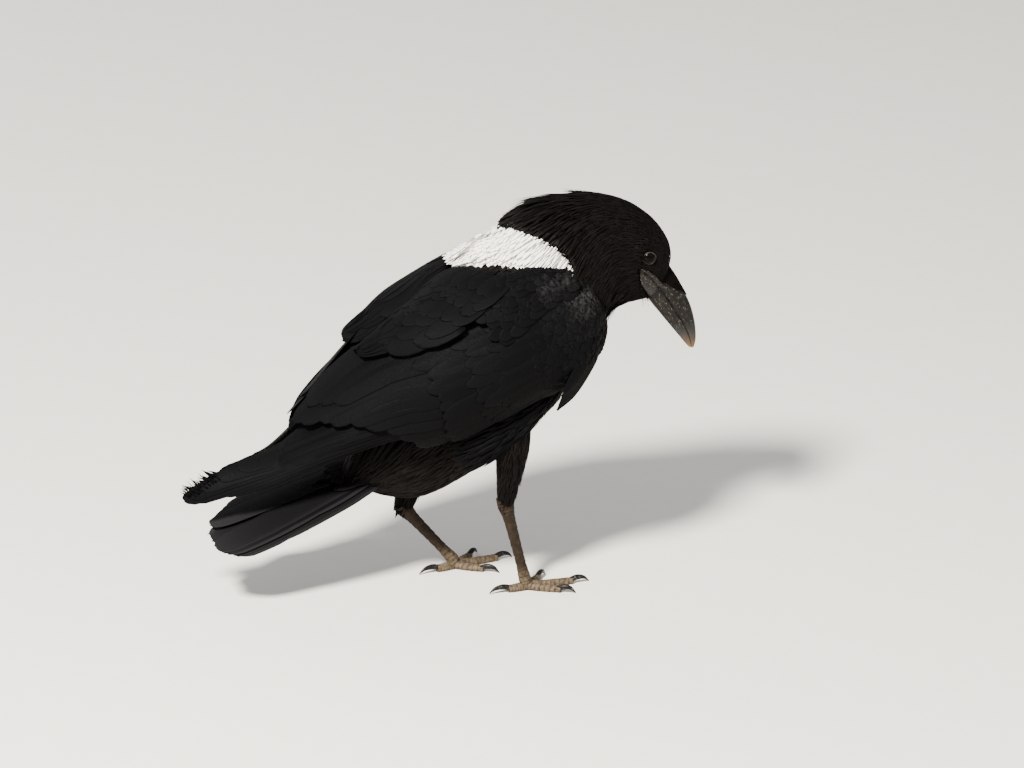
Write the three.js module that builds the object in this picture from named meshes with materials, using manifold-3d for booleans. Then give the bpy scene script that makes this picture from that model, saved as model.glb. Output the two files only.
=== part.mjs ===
// Pied crow, standing with its head bent down: a still model at life size.
// Millimetres. +X is forward, towards the bill, +Y is the bird's left, +Z is up.
// It is modelled with the floor at z = 0 under the breast, then moved as a whole
// so that the origin is the middle of the base of its bounding box.

import * as THREE from 'three';
import { mergeVertices } from 'three/addons/utils/BufferGeometryUtils.js';
import Module from 'manifold-3d';

const wasm = await Module();
wasm.setup();

// ---------- driving dimensions ----------

const GAP = 0.3;                // clear space between neighbouring solids
const RIGHT = -1;               // sign of Y on the bird's right side
const LEFT = 1;

const BODY_SIDES = 20;          // facets round a body section
const BODY_RINGS = 26;          // sections from tail base to face

const EYE_DIAMETER = 11;
const EYE_CENTRE = [140.5, 15.6, 236.7];

const BILL_BASE = [152.5, 0, 213];
const BILL_PITCH = 63.9;        // degrees below the horizon
const BILL_SET_IN = 6;          // how far the bill starts inside the face

const TAIL_ROOT = [-19, 0, 110];
const TAIL_PITCH = 19;         // degrees below the horizon
const TAIL_ROLL = 17;           // degrees, the right edge lower
const TAIL_LENGTH = 168;
const TAIL_ROOT_WIDTH = 36;
const TAIL_TIP_WIDTH = 72;
const TAIL_BOW = 5;             // how far each edge bulges half way
const TAIL_ROUND = 0.05;        // how far the left corner of the tail falls short, as a share
const TAIL_CORNER = 0.17;       // how far the right corner falls short
const TAIL_CORNER_WIDTH = 0.3;  // and how much of the tail's width that corner takes
const TAIL_SKEW = 0.3;          // how fast the left half's tips fall short, as a share
const TAIL_ROOF = 0.15;         // how far the edges hang, as a share of the half width

const SHEET_LENGTH = 300;       // of a wing, bend to tip; rough, for the gaps between layers
const SHEET_DEPTH = 90;         // of a wing, across its widest row; rough, as above
const LAYER_STEP = 0.003;       // where a layer starts behind the one over it, in lengths
const STACK_DEPTH = 11;          // thickness of the innermost wing feathers together
const ALULA_THICKNESS = 3;
const ALULA_LEAN = [-0.64, 0.37, 0.56]; // from the alula's front edge to its rear edge

// Materials: colour as sRGB, one for each kind of surface.
const black = { color: 0x191919, roughness: 0.62, metalness: 0.0 };
const white = { color: 0xf3f0e5, roughness: 0.85, metalness: 0.0 };
const horn = { color: 0x433b34, roughness: 0.5, metalness: 0.0 };
const scale = { color: 0x3a2f27, roughness: 0.7, metalness: 0.0 };
const eyeball = { color: 0x160f0b, roughness: 0.08, metalness: 0.0 };

// ---------- body sections, from tail to face ----------
// top and keel are the upper and lower ends of a section as [x, z], half is its
// half width, and sag moves its widest part down (positive) or up.

const SECTIONS = [
  { top: [-74, 101], keel: [-70, 82], half: 16, sag: 0 },
  { top: [-56, 146], keel: [-50, 72], half: 27, sag: 0 },
  { top: [-26, 203], keel: [-24, 69], half: 40, sag: 0.05 },
  { top: [4, 235], keel: [8, 83], half: 49, sag: 0.1 },
  { top: [26, 254], keel: [42, 106], half: 50, sag: 0.1 },
  { top: [47, 270.5], keel: [74, 130], half: 47, sag: 0.05 },
  { top: [66, 279.5], keel: [93, 158], half: 41, sag: 0.05 },
  { top: [84, 282], keel: [105, 182], half: 33, sag: 0.1 },
  { top: [102, 282.5], keel: [117, 197], half: 26.5, sag: 0.1 },
  { top: [119, 278.5], keel: [126, 199.5], half: 23, sag: 0 },
  { top: [134, 271.5], keel: [132, 200], half: 21.2, sag: -0.05 },
  { top: [148.5, 259.5], keel: [137, 200.5], half: 18, sag: -0.1 },
  { top: [158.5, 244.5], keel: [142, 201.5], half: 14.2, sag: -0.05 },
  { top: [161.5, 232], keel: [147, 204], half: 10.5, sag: 0 },
];

// ---------- wing surface, from the bend to the tip ----------
// Each row is the wing's upper edge, middle and lower edge as [x, y, z] for the
// left wing; the right wing mirrors it in Y.

const WING_ROWS = [
  { upper: [84, 28, 240], middle: [108, 34, 206], lower: [101, 39, 181] },
  { upper: [68, 37, 240], middle: [86, 56, 205], lower: [84, 50, 164] },
  { upper: [40, 42, 236], middle: [50, 65, 196], lower: [50, 56, 154] },
  { upper: [10, 40, 228], middle: [14, 68, 183], lower: [12, 60, 140] },
  { upper: [-22, 34, 215], middle: [-23, 66, 169], lower: [-24, 59, 127] },
  { upper: [-52, 22, 197], middle: [-53, 56, 160], lower: [-50, 54, 125] },
  { upper: [-82, 12, 171], middle: [-83, 44, 144], lower: [-80, 47, 118] },
  { upper: [-108, 8, 143], middle: [-108, 30, 127], lower: [-105, 38, 110] },
  { upper: [-136, 5, 116], middle: [-137, 18, 108], lower: [-136, 27, 98] },
  { upper: [-160, 3, 106], middle: [-160, 12, 97], lower: [-158, 18, 86] },
  { upper: [-181, 3, 95], middle: [-181, 8, 87], lower: [-179, 11, 78] },
  { upper: [-193, 5, 86], middle: [-194, 6, 82], lower: [-192, 7, 77] },
];

// ---------- shoulder feathers, from the collar to their tips, as the wing's rows ----------

const SCAPULAR_ROWS = [
  { upper: [0, 1.5, 240], middle: [20, 18, 246.5], lower: [48, 40, 247] },
  { upper: [-14, 1.5, 229], middle: [-2, 24, 238], lower: [20, 53, 231] },
  { upper: [-30, 1.5, 214], middle: [-20, 26, 226.5], lower: [-8, 57, 213] },
  { upper: [-46, 2.5, 201], middle: [-42, 25.5, 212.5], lower: [-32, 51, 201.5] },
  { upper: [-60, 6, 191], middle: [-60, 22, 197.5], lower: [-54, 38, 193] },
  { upper: [-74, 14, 183], middle: [-74, 20, 187], lower: [-70, 26, 185] },
];

// ---------- small helpers ----------

function vector(list) {
  return new THREE.Vector3(list[0], list[1], list[2]);
}

function radians(degrees) {
  return THREE.MathUtils.degToRad(degrees);
}

function smoothCurve(points) {
  return new THREE.CatmullRomCurve3(points, false, 'catmullrom', 0.5);
}

// A closed mesh over a stack of rings of equal length. Each end is a fan round its
// middle or, where the rings are thin and bent, a strip across the ring.
function solidFromRings(rings, ends = 'fan') {
  const count = rings[0].length;
  const positions = [];
  const faces = [];
  for (const ring of rings) {
    for (const point of ring) positions.push(point.x, point.y, point.z);
  }
  for (let i = 0; i < rings.length - 1; i += 1) {
    for (let j = 0; j < count; j += 1) {
      const next = (j + 1) % count;
      const a = i * count + j;
      const b = i * count + next;
      faces.push(a, b, b + count, a, b + count, a + count);
    }
  }
  for (const end of [0, rings.length - 1]) {
    const first = end * count;
    const cap = [];
    if (ends === 'fan') {
      const middle = new THREE.Vector3();
      for (const point of rings[end]) middle.addScaledVector(point, 1 / count);
      const pole = positions.length / 3;
      positions.push(middle.x, middle.y, middle.z);
      for (let j = 0; j < count; j += 1) cap.push([pole, first + j, first + (j + 1) % count]);
    } else {
      for (let j = 0; j < count / 2 - 1; j += 1) {
        const across = first + count - 1 - j;
        cap.push([first + j, first + j + 1, across], [first + j + 1, across - 1, across]);
      }
    }
    for (const [a, b, c] of cap) {
      if (end === 0) faces.push(a, c, b);
      else faces.push(a, b, c);
    }
  }
  return orientedMesh(positions, faces);
}

// Turns the faces over if the mesh is inside out.
function orientedMesh(positions, faces) {
  let volume = 0;
  const corner = (index) => new THREE.Vector3().fromArray(positions, index * 3);
  for (let i = 0; i < faces.length; i += 3) {
    const cross = corner(faces[i + 1]).cross(corner(faces[i + 2]));
    volume += corner(faces[i]).dot(cross);
  }
  if (volume < 0) {
    for (let i = 0; i < faces.length; i += 3) {
      [faces[i], faces[i + 1]] = [faces[i + 1], faces[i]];
    }
  }
  const geometry = new THREE.BufferGeometry();
  geometry.setAttribute('position', new THREE.Float32BufferAttribute(positions, 3));
  geometry.setIndex(faces);
  return geometry;
}

function solid(geometry) {
  const bare = geometry.clone();
  bare.deleteAttribute('normal');
  bare.deleteAttribute('uv');
  const merged = mergeVertices(bare, 1e-4);
  const mesh = new wasm.Mesh({
    numProp: 3,
    vertProperties: new Float32Array(merged.attributes.position.array),
    triVerts: new Uint32Array(merged.index.array),
  });
  return new wasm.Manifold(mesh);
}

function surfaceOf(manifold) {
  const mesh = manifold.getMesh();
  const geometry = new THREE.BufferGeometry();
  geometry.setAttribute('position', new THREE.Float32BufferAttribute(mesh.vertProperties, 3));
  geometry.setIndex(Array.from(mesh.triVerts));
  return geometry;
}

function joined(solids) {
  return solids.reduce((whole, piece) => whole.add(piece));
}

// A large block on one side of the plane through `point` with normal `normal`.
function halfSpace(point, normal) {
  const size = 900;
  const box = new THREE.BoxGeometry(size, size, size);
  const turn = new THREE.Quaternion().setFromUnitVectors(
    new THREE.Vector3(0, 0, 1), normal.clone().normalize());
  box.translate(0, 0, size / 2);
  box.applyQuaternion(turn);
  box.translate(point.x, point.y, point.z);
  return solid(box);
}

// ---------- body ----------

const topLine = smoothCurve(SECTIONS.map((s) => new THREE.Vector3(s.top[0], 0, s.top[1])));
const keelLine = smoothCurve(SECTIONS.map((s) => new THREE.Vector3(s.keel[0], 0, s.keel[1])));
const girth = smoothCurve(SECTIONS.map((s) => new THREE.Vector3(s.half, s.sag, 0)));

// One section of the body at t, 0 at the tail and 1 at the face, made wider by grow.
function bodyRing(t, grow) {
  const top = topLine.getPoint(t);
  const keel = keelLine.getPoint(t);
  const middle = top.clone().add(keel).multiplyScalar(0.5);
  const up = top.clone().sub(keel).multiplyScalar(0.5);
  const height = up.length();
  up.normalize();
  const { x: half, y: sag } = girth.getPoint(t);
  const ring = [];
  for (let j = 0; j < BODY_SIDES; j += 1) {
    const angle = (2 * Math.PI * j) / BODY_SIDES;
    const rise = Math.sin(angle);
    const side = Math.cos(angle) * (1 - sag * rise);
    ring.push(middle.clone()
      .addScaledVector(up, rise * (height + grow))
      .add(new THREE.Vector3(0, side * (half + grow), 0)));
  }
  return ring;
}

function bodySolid(grow) {
  const rings = [];
  for (let i = 0; i <= BODY_RINGS; i += 1) rings.push(bodyRing(i / BODY_RINGS, grow));
  return solid(solidFromRings(rings));
}

// ---------- sheets: the outer surfaces of the wings and shoulder feathers ----------

// A sheet is a smooth surface through rows of three points. along runs from the
// first row to the last and down from the upper to the lower point of a row.
function makeSheet(rows) {
  const upperEdge = smoothCurve(rows.map((row) => vector(row.upper)));
  const middleLine = smoothCurve(rows.map((row) => vector(row.middle)));
  const lowerEdge = smoothCurve(rows.map((row) => vector(row.lower)));

  function point(along, down) {
    const t = THREE.MathUtils.clamp(along, 0, 1);
    const upper = upperEdge.getPoint(t);
    const lower = lowerEdge.getPoint(t);
    const pull = middleLine.getPoint(t).multiplyScalar(2)
      .addScaledVector(upper, -0.5).addScaledVector(lower, -0.5);
    return upper.multiplyScalar((1 - down) ** 2)
      .addScaledVector(pull, 2 * down * (1 - down))
      .addScaledVector(lower, down ** 2);
  }

  function normal(along, down) {
    const step = 0.01;
    const a = Math.min(Math.max(along, step), 1 - step);
    const d = Math.min(Math.max(down, step), 1 - step);
    const rear = point(a + step, d).sub(point(a - step, d));
    const fall = point(a, d + step).sub(point(a, d - step));
    return fall.cross(rear).normalize();
  }

  return { point, normal };
}

const wingSheet = makeSheet(WING_ROWS);
const scapularSheet = makeSheet(SCAPULAR_ROWS);

function mirrored(point, side) {
  return new THREE.Vector3(point.x, side * point.y, point.z);
}

// A layer of feathers on a sheet: from layer.start(down) to layer.end(down) of its
// length, its face raised by layer.lift(along, down) and its back layer.depth(along, down)
// below the face. face and back can also sink straight down. grow swells it all round.
function layerSolid(sheet, side, layer, grow) {
  const { lengthSteps, depthSteps, faceSink = () => 0, backSink = () => 0 } = layer;
  // Moves the first and last of a row of steps outwards by reach, and no other.
  const outwards = (step, steps, reach) => (step === steps) * reach - (step === 0) * reach;
  const rings = [];
  for (let i = 0; i <= lengthSteps; i += 1) {
    const share = i / lengthSteps;
    const face = [];
    const back = [];
    for (let j = 0; j <= depthSteps; j += 1) {
      const down = j / depthSteps + outwards(j, depthSteps, grow / SHEET_DEPTH);
      const along = THREE.MathUtils.lerp(layer.start(down), layer.end(down), share)
        + outwards(i, lengthSteps, grow / SHEET_LENGTH);
      const out = sheet.normal(along, down);
      const foot = sheet.point(along, down);
      const raise = layer.lift(along, down);
      const outer = foot.clone().addScaledVector(out, raise + grow);
      const inner = foot.clone().addScaledVector(out, raise - layer.depth(along, down) - grow);
      outer.z -= faceSink(along, down);
      inner.z -= backSink(along, down);
      face.push(mirrored(outer, side));
      back.push(mirrored(inner, side));
    }
    rings.push([...face, ...back.reverse()]);
  }
  return solid(solidFromRings(rings, 'strip'));
}

// ---------- round things along a line: legs, toes, claws ----------

// A solid of round or oval section through stations { at, radius, flat }: flat is
// the height of the section as a share of its width, which runs along reference.
function limb(stations, sides, grow = 0, reference = new THREE.Vector3(0, 1, 0)) {
  const line = smoothCurve(stations.map((s) => vector(s.at)));
  const size = smoothCurve(stations.map((s) => new THREE.Vector3(s.radius, s.flat ?? 1, 0)));
  const steps = (stations.length - 1) * 2;
  const rings = [];
  for (let i = 0; i <= steps; i += 1) {
    const t = i / steps;
    const centre = line.getPoint(t);
    const ahead = line.getTangent(t);
    const across = reference.clone().addScaledVector(ahead, -reference.dot(ahead)).normalize();
    const lift = ahead.clone().cross(across);
    const { x: radius, y: flat } = size.getPoint(t);
    const ring = [];
    for (let j = 0; j < sides; j += 1) {
      const angle = (2 * Math.PI * j) / sides;
      ring.push(centre.clone()
        .addScaledVector(across, Math.cos(angle) * (radius + grow))
        .addScaledVector(lift, Math.sin(angle) * (radius * flat + grow)));
    }
    rings.push(ring);
  }
  return solid(solidFromRings(rings));
}

// ---------- the parts ----------

const group = new THREE.Group();

function addPart(name, shape, look) {
  const mesh = new THREE.Mesh(surfaceOf(shape), new THREE.MeshStandardMaterial(look));
  mesh.name = name;
  group.add(mesh);
}

// The bill, in its own frame: along it from the base, and up towards the culmen.

const BILL_PROFILE = [
  { along: -BILL_SET_IN, culmen: 11.5, keel: -11.5, half: 8.6, cut: -4.6 },
  { along: 0, culmen: 12.2, keel: -12.2, half: 8.6, cut: -3.2 },
  { along: 11, culmen: 12.6, keel: -11.6, half: 8, cut: -0.8 },
  { along: 20, culmen: 12.9, keel: -9.8, half: 7, cut: 0.1 },
  { along: 29, culmen: 12.4, keel: -8, half: 5.9, cut: 0.8 },
  { along: 39, culmen: 10.4, keel: -5.9, half: 4.4, cut: 1.5 },
  { along: 47, culmen: 7.8, keel: -4.2, half: 3.2, cut: 1.3 },
  { along: 53.5, culmen: 4.7, keel: -2.8, half: 2, cut: 0.3 },
  { along: 57.6, culmen: 1.4, keel: -1.5, half: 0.9, cut: -0.8 },
];

const billSteps = smoothCurve(BILL_PROFILE.map((p) => new THREE.Vector3(p.along, p.half, p.cut)));
const billEdges = smoothCurve(BILL_PROFILE.map((p) => new THREE.Vector3(p.culmen, p.keel, 0)));

function billPoint(along, side, up) {
  const pitch = radians(BILL_PITCH);
  return new THREE.Vector3(
    BILL_BASE[0] + along * Math.cos(pitch) + up * Math.sin(pitch),
    side,
    BILL_BASE[2] - along * Math.sin(pitch) + up * Math.cos(pitch));
}

// One half of the bill: upper is 1 for the upper half and -1 for the lower.
function billHalf(upper, reach, grow) {
  const steps = 11;
  const arcs = 6;
  const rings = [];
  for (let i = 0; i <= steps; i += 1) {
    const { x: along, y: half, z: cut } = billSteps.getPoint((i / steps) * reach);
    const { x: culmen, y: keel } = billEdges.getPoint((i / steps) * reach);
    const crown = (upper > 0 ? culmen : keel) + upper * grow;
    const flat = cut + upper * (GAP / 2 - grow);
    const ring = [];
    for (let j = 0; j <= arcs; j += 1) {
      const angle = (Math.PI * j) / arcs;
      const rise = Math.sin(angle) ** 0.85;
      ring.push(billPoint(along, Math.cos(angle) * (half + grow), flat + (crown - flat) * rise));
    }
    rings.push(ring);
  }
  return solid(solidFromRings(rings));
}

const upperBill = billHalf(1, 1, 0);
const lowerBill = billHalf(-1, 0.965, 0);
addPart('bill_upper', upperBill, horn);
addPart('bill_lower', lowerBill, horn);

// Eyes.

function eyeSolid(side, grow) {
  const ball = new THREE.SphereGeometry(EYE_DIAMETER / 2 + grow, 10, 7);
  ball.translate(EYE_CENTRE[0], side * EYE_CENTRE[1], EYE_CENTRE[2]);
  return solid(ball);
}

addPart('eye_right', eyeSolid(RIGHT, 0), eyeball);
addPart('eye_left', eyeSolid(LEFT, 0), eyeball);

// The body, parted by slanting planes into head, neck, collar and trunk. Each
// plane runs across the bird through a point above and a point below.

const CUTS = {
  nape: { above: [80, 276], below: [121, 198] },
  hood: { above: [40, 252], below: [115, 184] },
  collar: { above: [-6, 236], below: [62, 114] },
};

// Everything behind a cut, moved by shift along its forward direction.
function behind(cut, shift) {
  const forward = new THREE.Vector3(cut.above[1] - cut.below[1], 0, cut.below[0] - cut.above[0]);
  forward.normalize();
  const point = new THREE.Vector3(cut.above[0], 0, cut.above[1]);
  return halfSpace(point.addScaledVector(forward, shift), forward.clone().negate());
}

const wholeBody = bodySolid(0)
  .subtract(billHalf(1, 0.5, GAP)).subtract(billHalf(-1, 0.5, GAP))
  .subtract(eyeSolid(RIGHT, GAP)).subtract(eyeSolid(LEFT, GAP));
const rearOfNape = wholeBody.intersect(behind(CUTS.nape, 0));
const rearOfHood = rearOfNape.intersect(behind(CUTS.hood, 0));
const bodyKeepOut = bodySolid(GAP);

addPart('head', wholeBody.subtract(behind(CUTS.nape, GAP)), black);
addPart('neck', rearOfNape.subtract(behind(CUTS.hood, GAP)), black);
addPart('breast_and_collar', rearOfHood.subtract(behind(CUTS.collar, GAP)), white);
const trunk = rearOfHood.intersect(behind(CUTS.collar, 0));

// The tail is a shallow roof of twelve feathers. Its sheet runs from the root to the
// tip, and from its right edge, over the middle pair, to its left edge.

function tailRow(share) {
  const pitch = radians(TAIL_PITCH);
  const rear = new THREE.Vector3(-Math.cos(pitch), 0, -Math.sin(pitch));
  const roll = new THREE.Quaternion().setFromAxisAngle(rear, radians(-TAIL_ROLL));
  const up = new THREE.Vector3(-Math.sin(pitch), 0, Math.cos(pitch)).applyQuaternion(roll);
  const left = rear.clone().cross(up);
  const half = THREE.MathUtils.lerp(TAIL_ROOT_WIDTH, TAIL_TIP_WIDTH, share) / 2
    + TAIL_BOW * Math.sin(Math.PI * share);
  const spine = vector(TAIL_ROOT).addScaledVector(rear, TAIL_LENGTH * share);
  const edge = (side) => spine.clone().addScaledVector(left, side * half)
    .addScaledVector(up, -TAIL_ROOF * half).toArray();
  return { upper: edge(RIGHT), middle: spine.toArray(), lower: edge(LEFT) };
}

const tailSheet = makeSheet([0, 0.25, 0.5, 0.75, 1].map(tailRow));

// The tips make a shallow curve. The left edge is held further back than the right.
function tailEnd(down) {
  const left = TAIL_ROUND * Math.max(0, 2 * down - 1) ** 6;
  const right = TAIL_CORNER * Math.max(0, 1 - down / TAIL_CORNER_WIDTH) ** 2;
  return 1 - TAIL_SKEW * Math.max(0, down - 0.5) - left - right;
}

const tailLayer = {
  start: () => 0,
  end: tailEnd,
  lift: () => 0,
  depth: (along, down) => 3.4 - 1.6 * Math.abs(2 * down - 1) - 0.6 * along,
  lengthSteps: 7,
  depthSteps: 12,
};

// Legs. Points are for each side's own stance: the right leg stands forward, the
// left leg back.

const LEGS = {
  right: {
    side: RIGHT,
    thigh: [
      { at: [38, -34, 126], radius: 13.5, flat: 1 },
      { at: [36.5, -34, 108], radius: 11.8, flat: 1 },
      { at: [34.5, -32, 88], radius: 8.8, flat: 1 },
      { at: [33, -29.5, 68.5], radius: 5.4, flat: 1.1 },
    ],
    heel: [32.7, -29, 68],
    foot: [48, -27, 7.5],
    yaw: 6,
  },
  left: {
    side: LEFT,
    thigh: [
      { at: [2, 34, 104], radius: 17, flat: 1.3 },
      { at: [-9, 33, 89], radius: 15, flat: 1.2 },
      { at: [-19, 31, 72], radius: 11, flat: 1.1 },
      { at: [-27, 29.5, 50], radius: 6, flat: 1.1 },
    ],
    heel: [-26.8, 29, 49.5],
    foot: [9.4, 28, 7.5],
    yaw: 14,
  },
};

// Toes of a left foot: turn from the middle toe in degrees, length and radius.
const TOES = {
  inner: { turn: -45, length: 23, radius: 2.7, claw: 12 },
  middle: { turn: 0, length: 36, radius: 3, claw: 13 },
  outer: { turn: 33, length: 26, radius: 2.7, claw: 11 },
  hind: { turn: 180, length: 13, radius: 3.2, claw: 15 },
};
const TOE_NUMBER = { hind: 1, inner: 2, middle: 3, outer: 4 };
const SOLE_DROP = 2.35;         // height of a toe's centre line above the floor
const belowFloor = halfSpace(new THREE.Vector3(), new THREE.Vector3(0, 0, -1));

function tarsusSolid(leg, grow) {
  const heel = vector(leg.heel);
  const foot = vector(leg.foot);
  const at = (share) => heel.clone().lerp(foot, share).toArray();
  return limb([
    { at: at(-0.04), radius: 3.8, flat: 1.2 },
    { at: at(0.06), radius: 3.6, flat: 1.25 },
    { at: at(0.2), radius: 2.6, flat: 1.3 },
    { at: at(0.8), radius: 2.5, flat: 1.25 },
    { at: at(1), radius: 3.9, flat: 1 },
    { at: at(1.05), radius: 3.2, flat: 0.8 },
  ], 8, grow);
}

// The direction of a toe on the floor, for this leg.
function toeHeading(leg, toe) {
  const angle = radians(leg.yaw + leg.side * toe.turn);
  return new THREE.Vector3(Math.cos(angle), Math.sin(angle), 0);
}

function toeSolid(leg, toe, grow) {
  const heading = toeHeading(leg, toe);
  const start = new THREE.Vector3(leg.foot[0], leg.foot[1], 0);
  const at = (reach, height) => start.clone().addScaledVector(heading, reach)
    .setZ(height).toArray();
  return limb([
    { at: at(0, SOLE_DROP + 2), radius: toe.radius + 0.5 },
    { at: at(toe.length * 0.25, SOLE_DROP + 0.6), radius: toe.radius },
    { at: at(toe.length * 0.6, SOLE_DROP), radius: toe.radius },
    { at: at(toe.length, SOLE_DROP), radius: toe.radius * 0.85 },
  ], 6, grow);
}

function clawSolid(leg, toe) {
  const heading = toeHeading(leg, toe);
  const start = new THREE.Vector3(leg.foot[0], leg.foot[1], 0);
  const at = (reach, height) => start.clone().addScaledVector(heading, toe.length + reach)
    .setZ(height).toArray();
  return limb([
    { at: at(-2.5, SOLE_DROP + 0.5), radius: 1.9 },
    { at: at(toe.claw * 0.25, SOLE_DROP + 2), radius: 1.7, flat: 1.2 },
    { at: at(toe.claw * 0.65, SOLE_DROP + 1.3), radius: 1.1, flat: 1.2 },
    { at: at(toe.claw * 0.95, 0.7), radius: 0.35 },
  ], 5);
}

for (const [name, leg] of Object.entries(LEGS)) {
  const tarsusRoom = tarsusSolid(leg, GAP);
  const toes = Object.values(TOES).map((toe) => toeSolid(leg, toe, 0));
  const toeRoom = joined(Object.values(TOES).map((toe) => toeSolid(leg, toe, GAP)));
  const foot = joined(toes).subtract(tarsusRoom).subtract(belowFloor);
  addPart(`thigh_${name}`, limb(leg.thigh, 10).subtract(bodyKeepOut).subtract(tarsusRoom), black);
  addPart(`tarsus_${name}`, tarsusSolid(leg, 0).subtract(belowFloor), scale);
  addPart(`foot_${name}`, foot, scale);
  for (const [kind, toe] of Object.entries(TOES)) {
    const claw = clawSolid(leg, toe).subtract(toeRoom).subtract(belowFloor);
    addPart(`claw_${name}_${TOE_NUMBER[kind]}`, claw, horn);
  }
}

// Wings. A folded wing is three layers: the coverts on the arm, and from under them
// the secondaries and the primaries.

function covertEnd(down) {
  return 0.4 - 0.1 * down;
}

const covertLayer = {
  start: () => 0,
  end: covertEnd,
  lift: () => 0,
  depth: (along, down) => 3.4 + 26 * (0.4 - along) * (0.4 + 2.4 * down * (1 - down)),
  lengthSteps: 8,
  depthSteps: 8,
};

// The secondaries' tips lie on a slanting line, the innermost furthest back.
function secondaryEnd(down) {
  return 0.66 - 0.25 * down;
}

// How far the primaries sink under the thick stack of the innermost feathers.
function primaryDrop(along, down) {
  const share = THREE.MathUtils.clamp((0.75 - along) / 0.11, 0, 1);
  return STACK_DEPTH * share * Math.max(1 - down, 0) ** 1.5;
}

// The two layers start just behind the coverts, and the primaries lie inside.
const secondaryLayer = {
  start: (down) => covertEnd(down) + LAYER_STEP,
  end: secondaryEnd,
  lift: (along, down) => Math.max(0, 6 * (along - 0.4) * (1 - 0.85 * down)),
  depth: (along, down) => secondaryLayer.lift(along, down) + 1.4,
  backSink: (along, down) => 0.75 * primaryDrop(along, down),
  lengthSteps: 6,
  depthSteps: 9,
};

const primaryLayer = {
  start: (down) => covertEnd(down) + 0.05,
  end: () => 1,
  lift: () => -2.5,
  depth: () => 1.5,
  faceSink: primaryDrop,
  backSink: primaryDrop,
  lengthSteps: 13,
  depthSteps: 9,
};

const scapularLayer = {
  start: () => 0,
  end: () => 1,
  lift: () => 0,
  depth: (along) => 7 - 4.5 * along,
  lengthSteps: 7,
  depthSteps: 5,
};

// The alula, a flap below the bend: its middle line and its half width there.
const ALULA = [
  { at: [100, 42, 187], radius: 4.5 },
  { at: [90, 49, 172], radius: 6.5 },
  { at: [77, 53, 155], radius: 7 },
  { at: [65, 53, 141], radius: 4 },
];

function alulaSolid(side) {
  const stations = ALULA.map(({ at, radius }) => ({
    at: mirrored(vector(at), side).toArray(),
    radius,
    flat: ALULA_THICKNESS / 2 / radius,
  }));
  return limb(stations, 8, 0, mirrored(vector(ALULA_LEAN), side));
}

const wingRoom = [];
for (const [name, side] of [['right', RIGHT], ['left', LEFT]]) {
  const room = [covertLayer, secondaryLayer, primaryLayer]
    .map((layer) => layerSolid(wingSheet, side, layer, GAP));
  const coverts = layerSolid(wingSheet, side, covertLayer, 0).subtract(bodyKeepOut);
  const secondaries = layerSolid(wingSheet, side, secondaryLayer, 0)
    .subtract(room[0]).subtract(bodyKeepOut);
  const primaries = layerSolid(wingSheet, side, primaryLayer, 0)
    .subtract(room[0]).subtract(room[1]).subtract(bodyKeepOut);
  const alula = alulaSolid(side).subtract(room[0]).subtract(bodyKeepOut);
  const scapulars = layerSolid(scapularSheet, side, scapularLayer, 0)
    .subtract(room[0]).subtract(room[1]).subtract(bodyKeepOut);
  addPart(`wing_${name}`, coverts, black);
  addPart(`secondaries_${name}`, secondaries, black);
  addPart(`primaries_${name}`, primaries, black);
  addPart(`alula_${name}`, alula, black);
  addPart(`scapulars_${name}`, scapulars, black);
  wingRoom.push(...room);
}

const tail = layerSolid(tailSheet, LEFT, tailLayer, 0);
addPart('trunk', trunk, black);
addPart('tail', tail.subtract(bodyKeepOut).subtract(joined(wingRoom)), black);

// Move the whole so that the origin is the middle of the base of its bounding box.
const box = new THREE.Box3().setFromObject(group);
group.position.set(-(box.min.x + box.max.x) / 2, -(box.min.y + box.max.y) / 2, -box.min.z);

export default group;
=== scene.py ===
"""A life-size model of a standing pied crow: skin, coat, flight feathers, bill, eyes and feet."""
import math

import bmesh
import bpy
import numpy as np
from mathutils import Matrix, Vector


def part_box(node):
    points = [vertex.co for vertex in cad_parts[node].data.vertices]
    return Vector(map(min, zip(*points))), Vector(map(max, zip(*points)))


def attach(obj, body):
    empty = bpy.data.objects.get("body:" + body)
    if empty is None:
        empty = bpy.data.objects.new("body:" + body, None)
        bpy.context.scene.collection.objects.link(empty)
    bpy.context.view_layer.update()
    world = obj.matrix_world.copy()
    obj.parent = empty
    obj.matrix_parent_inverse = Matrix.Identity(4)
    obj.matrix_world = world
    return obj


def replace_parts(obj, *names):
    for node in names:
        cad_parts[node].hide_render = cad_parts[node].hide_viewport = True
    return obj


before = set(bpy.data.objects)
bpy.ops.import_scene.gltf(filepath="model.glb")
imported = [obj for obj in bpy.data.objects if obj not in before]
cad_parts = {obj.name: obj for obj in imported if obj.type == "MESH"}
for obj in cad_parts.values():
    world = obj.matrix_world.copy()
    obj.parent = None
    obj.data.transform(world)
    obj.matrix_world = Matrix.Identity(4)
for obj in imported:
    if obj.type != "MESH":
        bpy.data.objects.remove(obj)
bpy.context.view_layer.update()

MM = 0.001
RIGHT, LEFT = -1, 1
SIDES = (("right", RIGHT), ("left", LEFT))
rng = np.random.default_rng(11)

# ---------- the bird's own frame, in millimetres: +X ahead, +Y its left, +Z up ----------

EYE_CENTRE = (140.5, 15.6, 236.7)
EYE_DIAMETER = 11
LID_WIDTH, LID_HEIGHT = 9.4, 8.8
EYE_BARE = 4.6          # no feather grows this near an eye's middle
BROW_RADIUS, BROW_RISE = 6.3, 5.5

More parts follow.
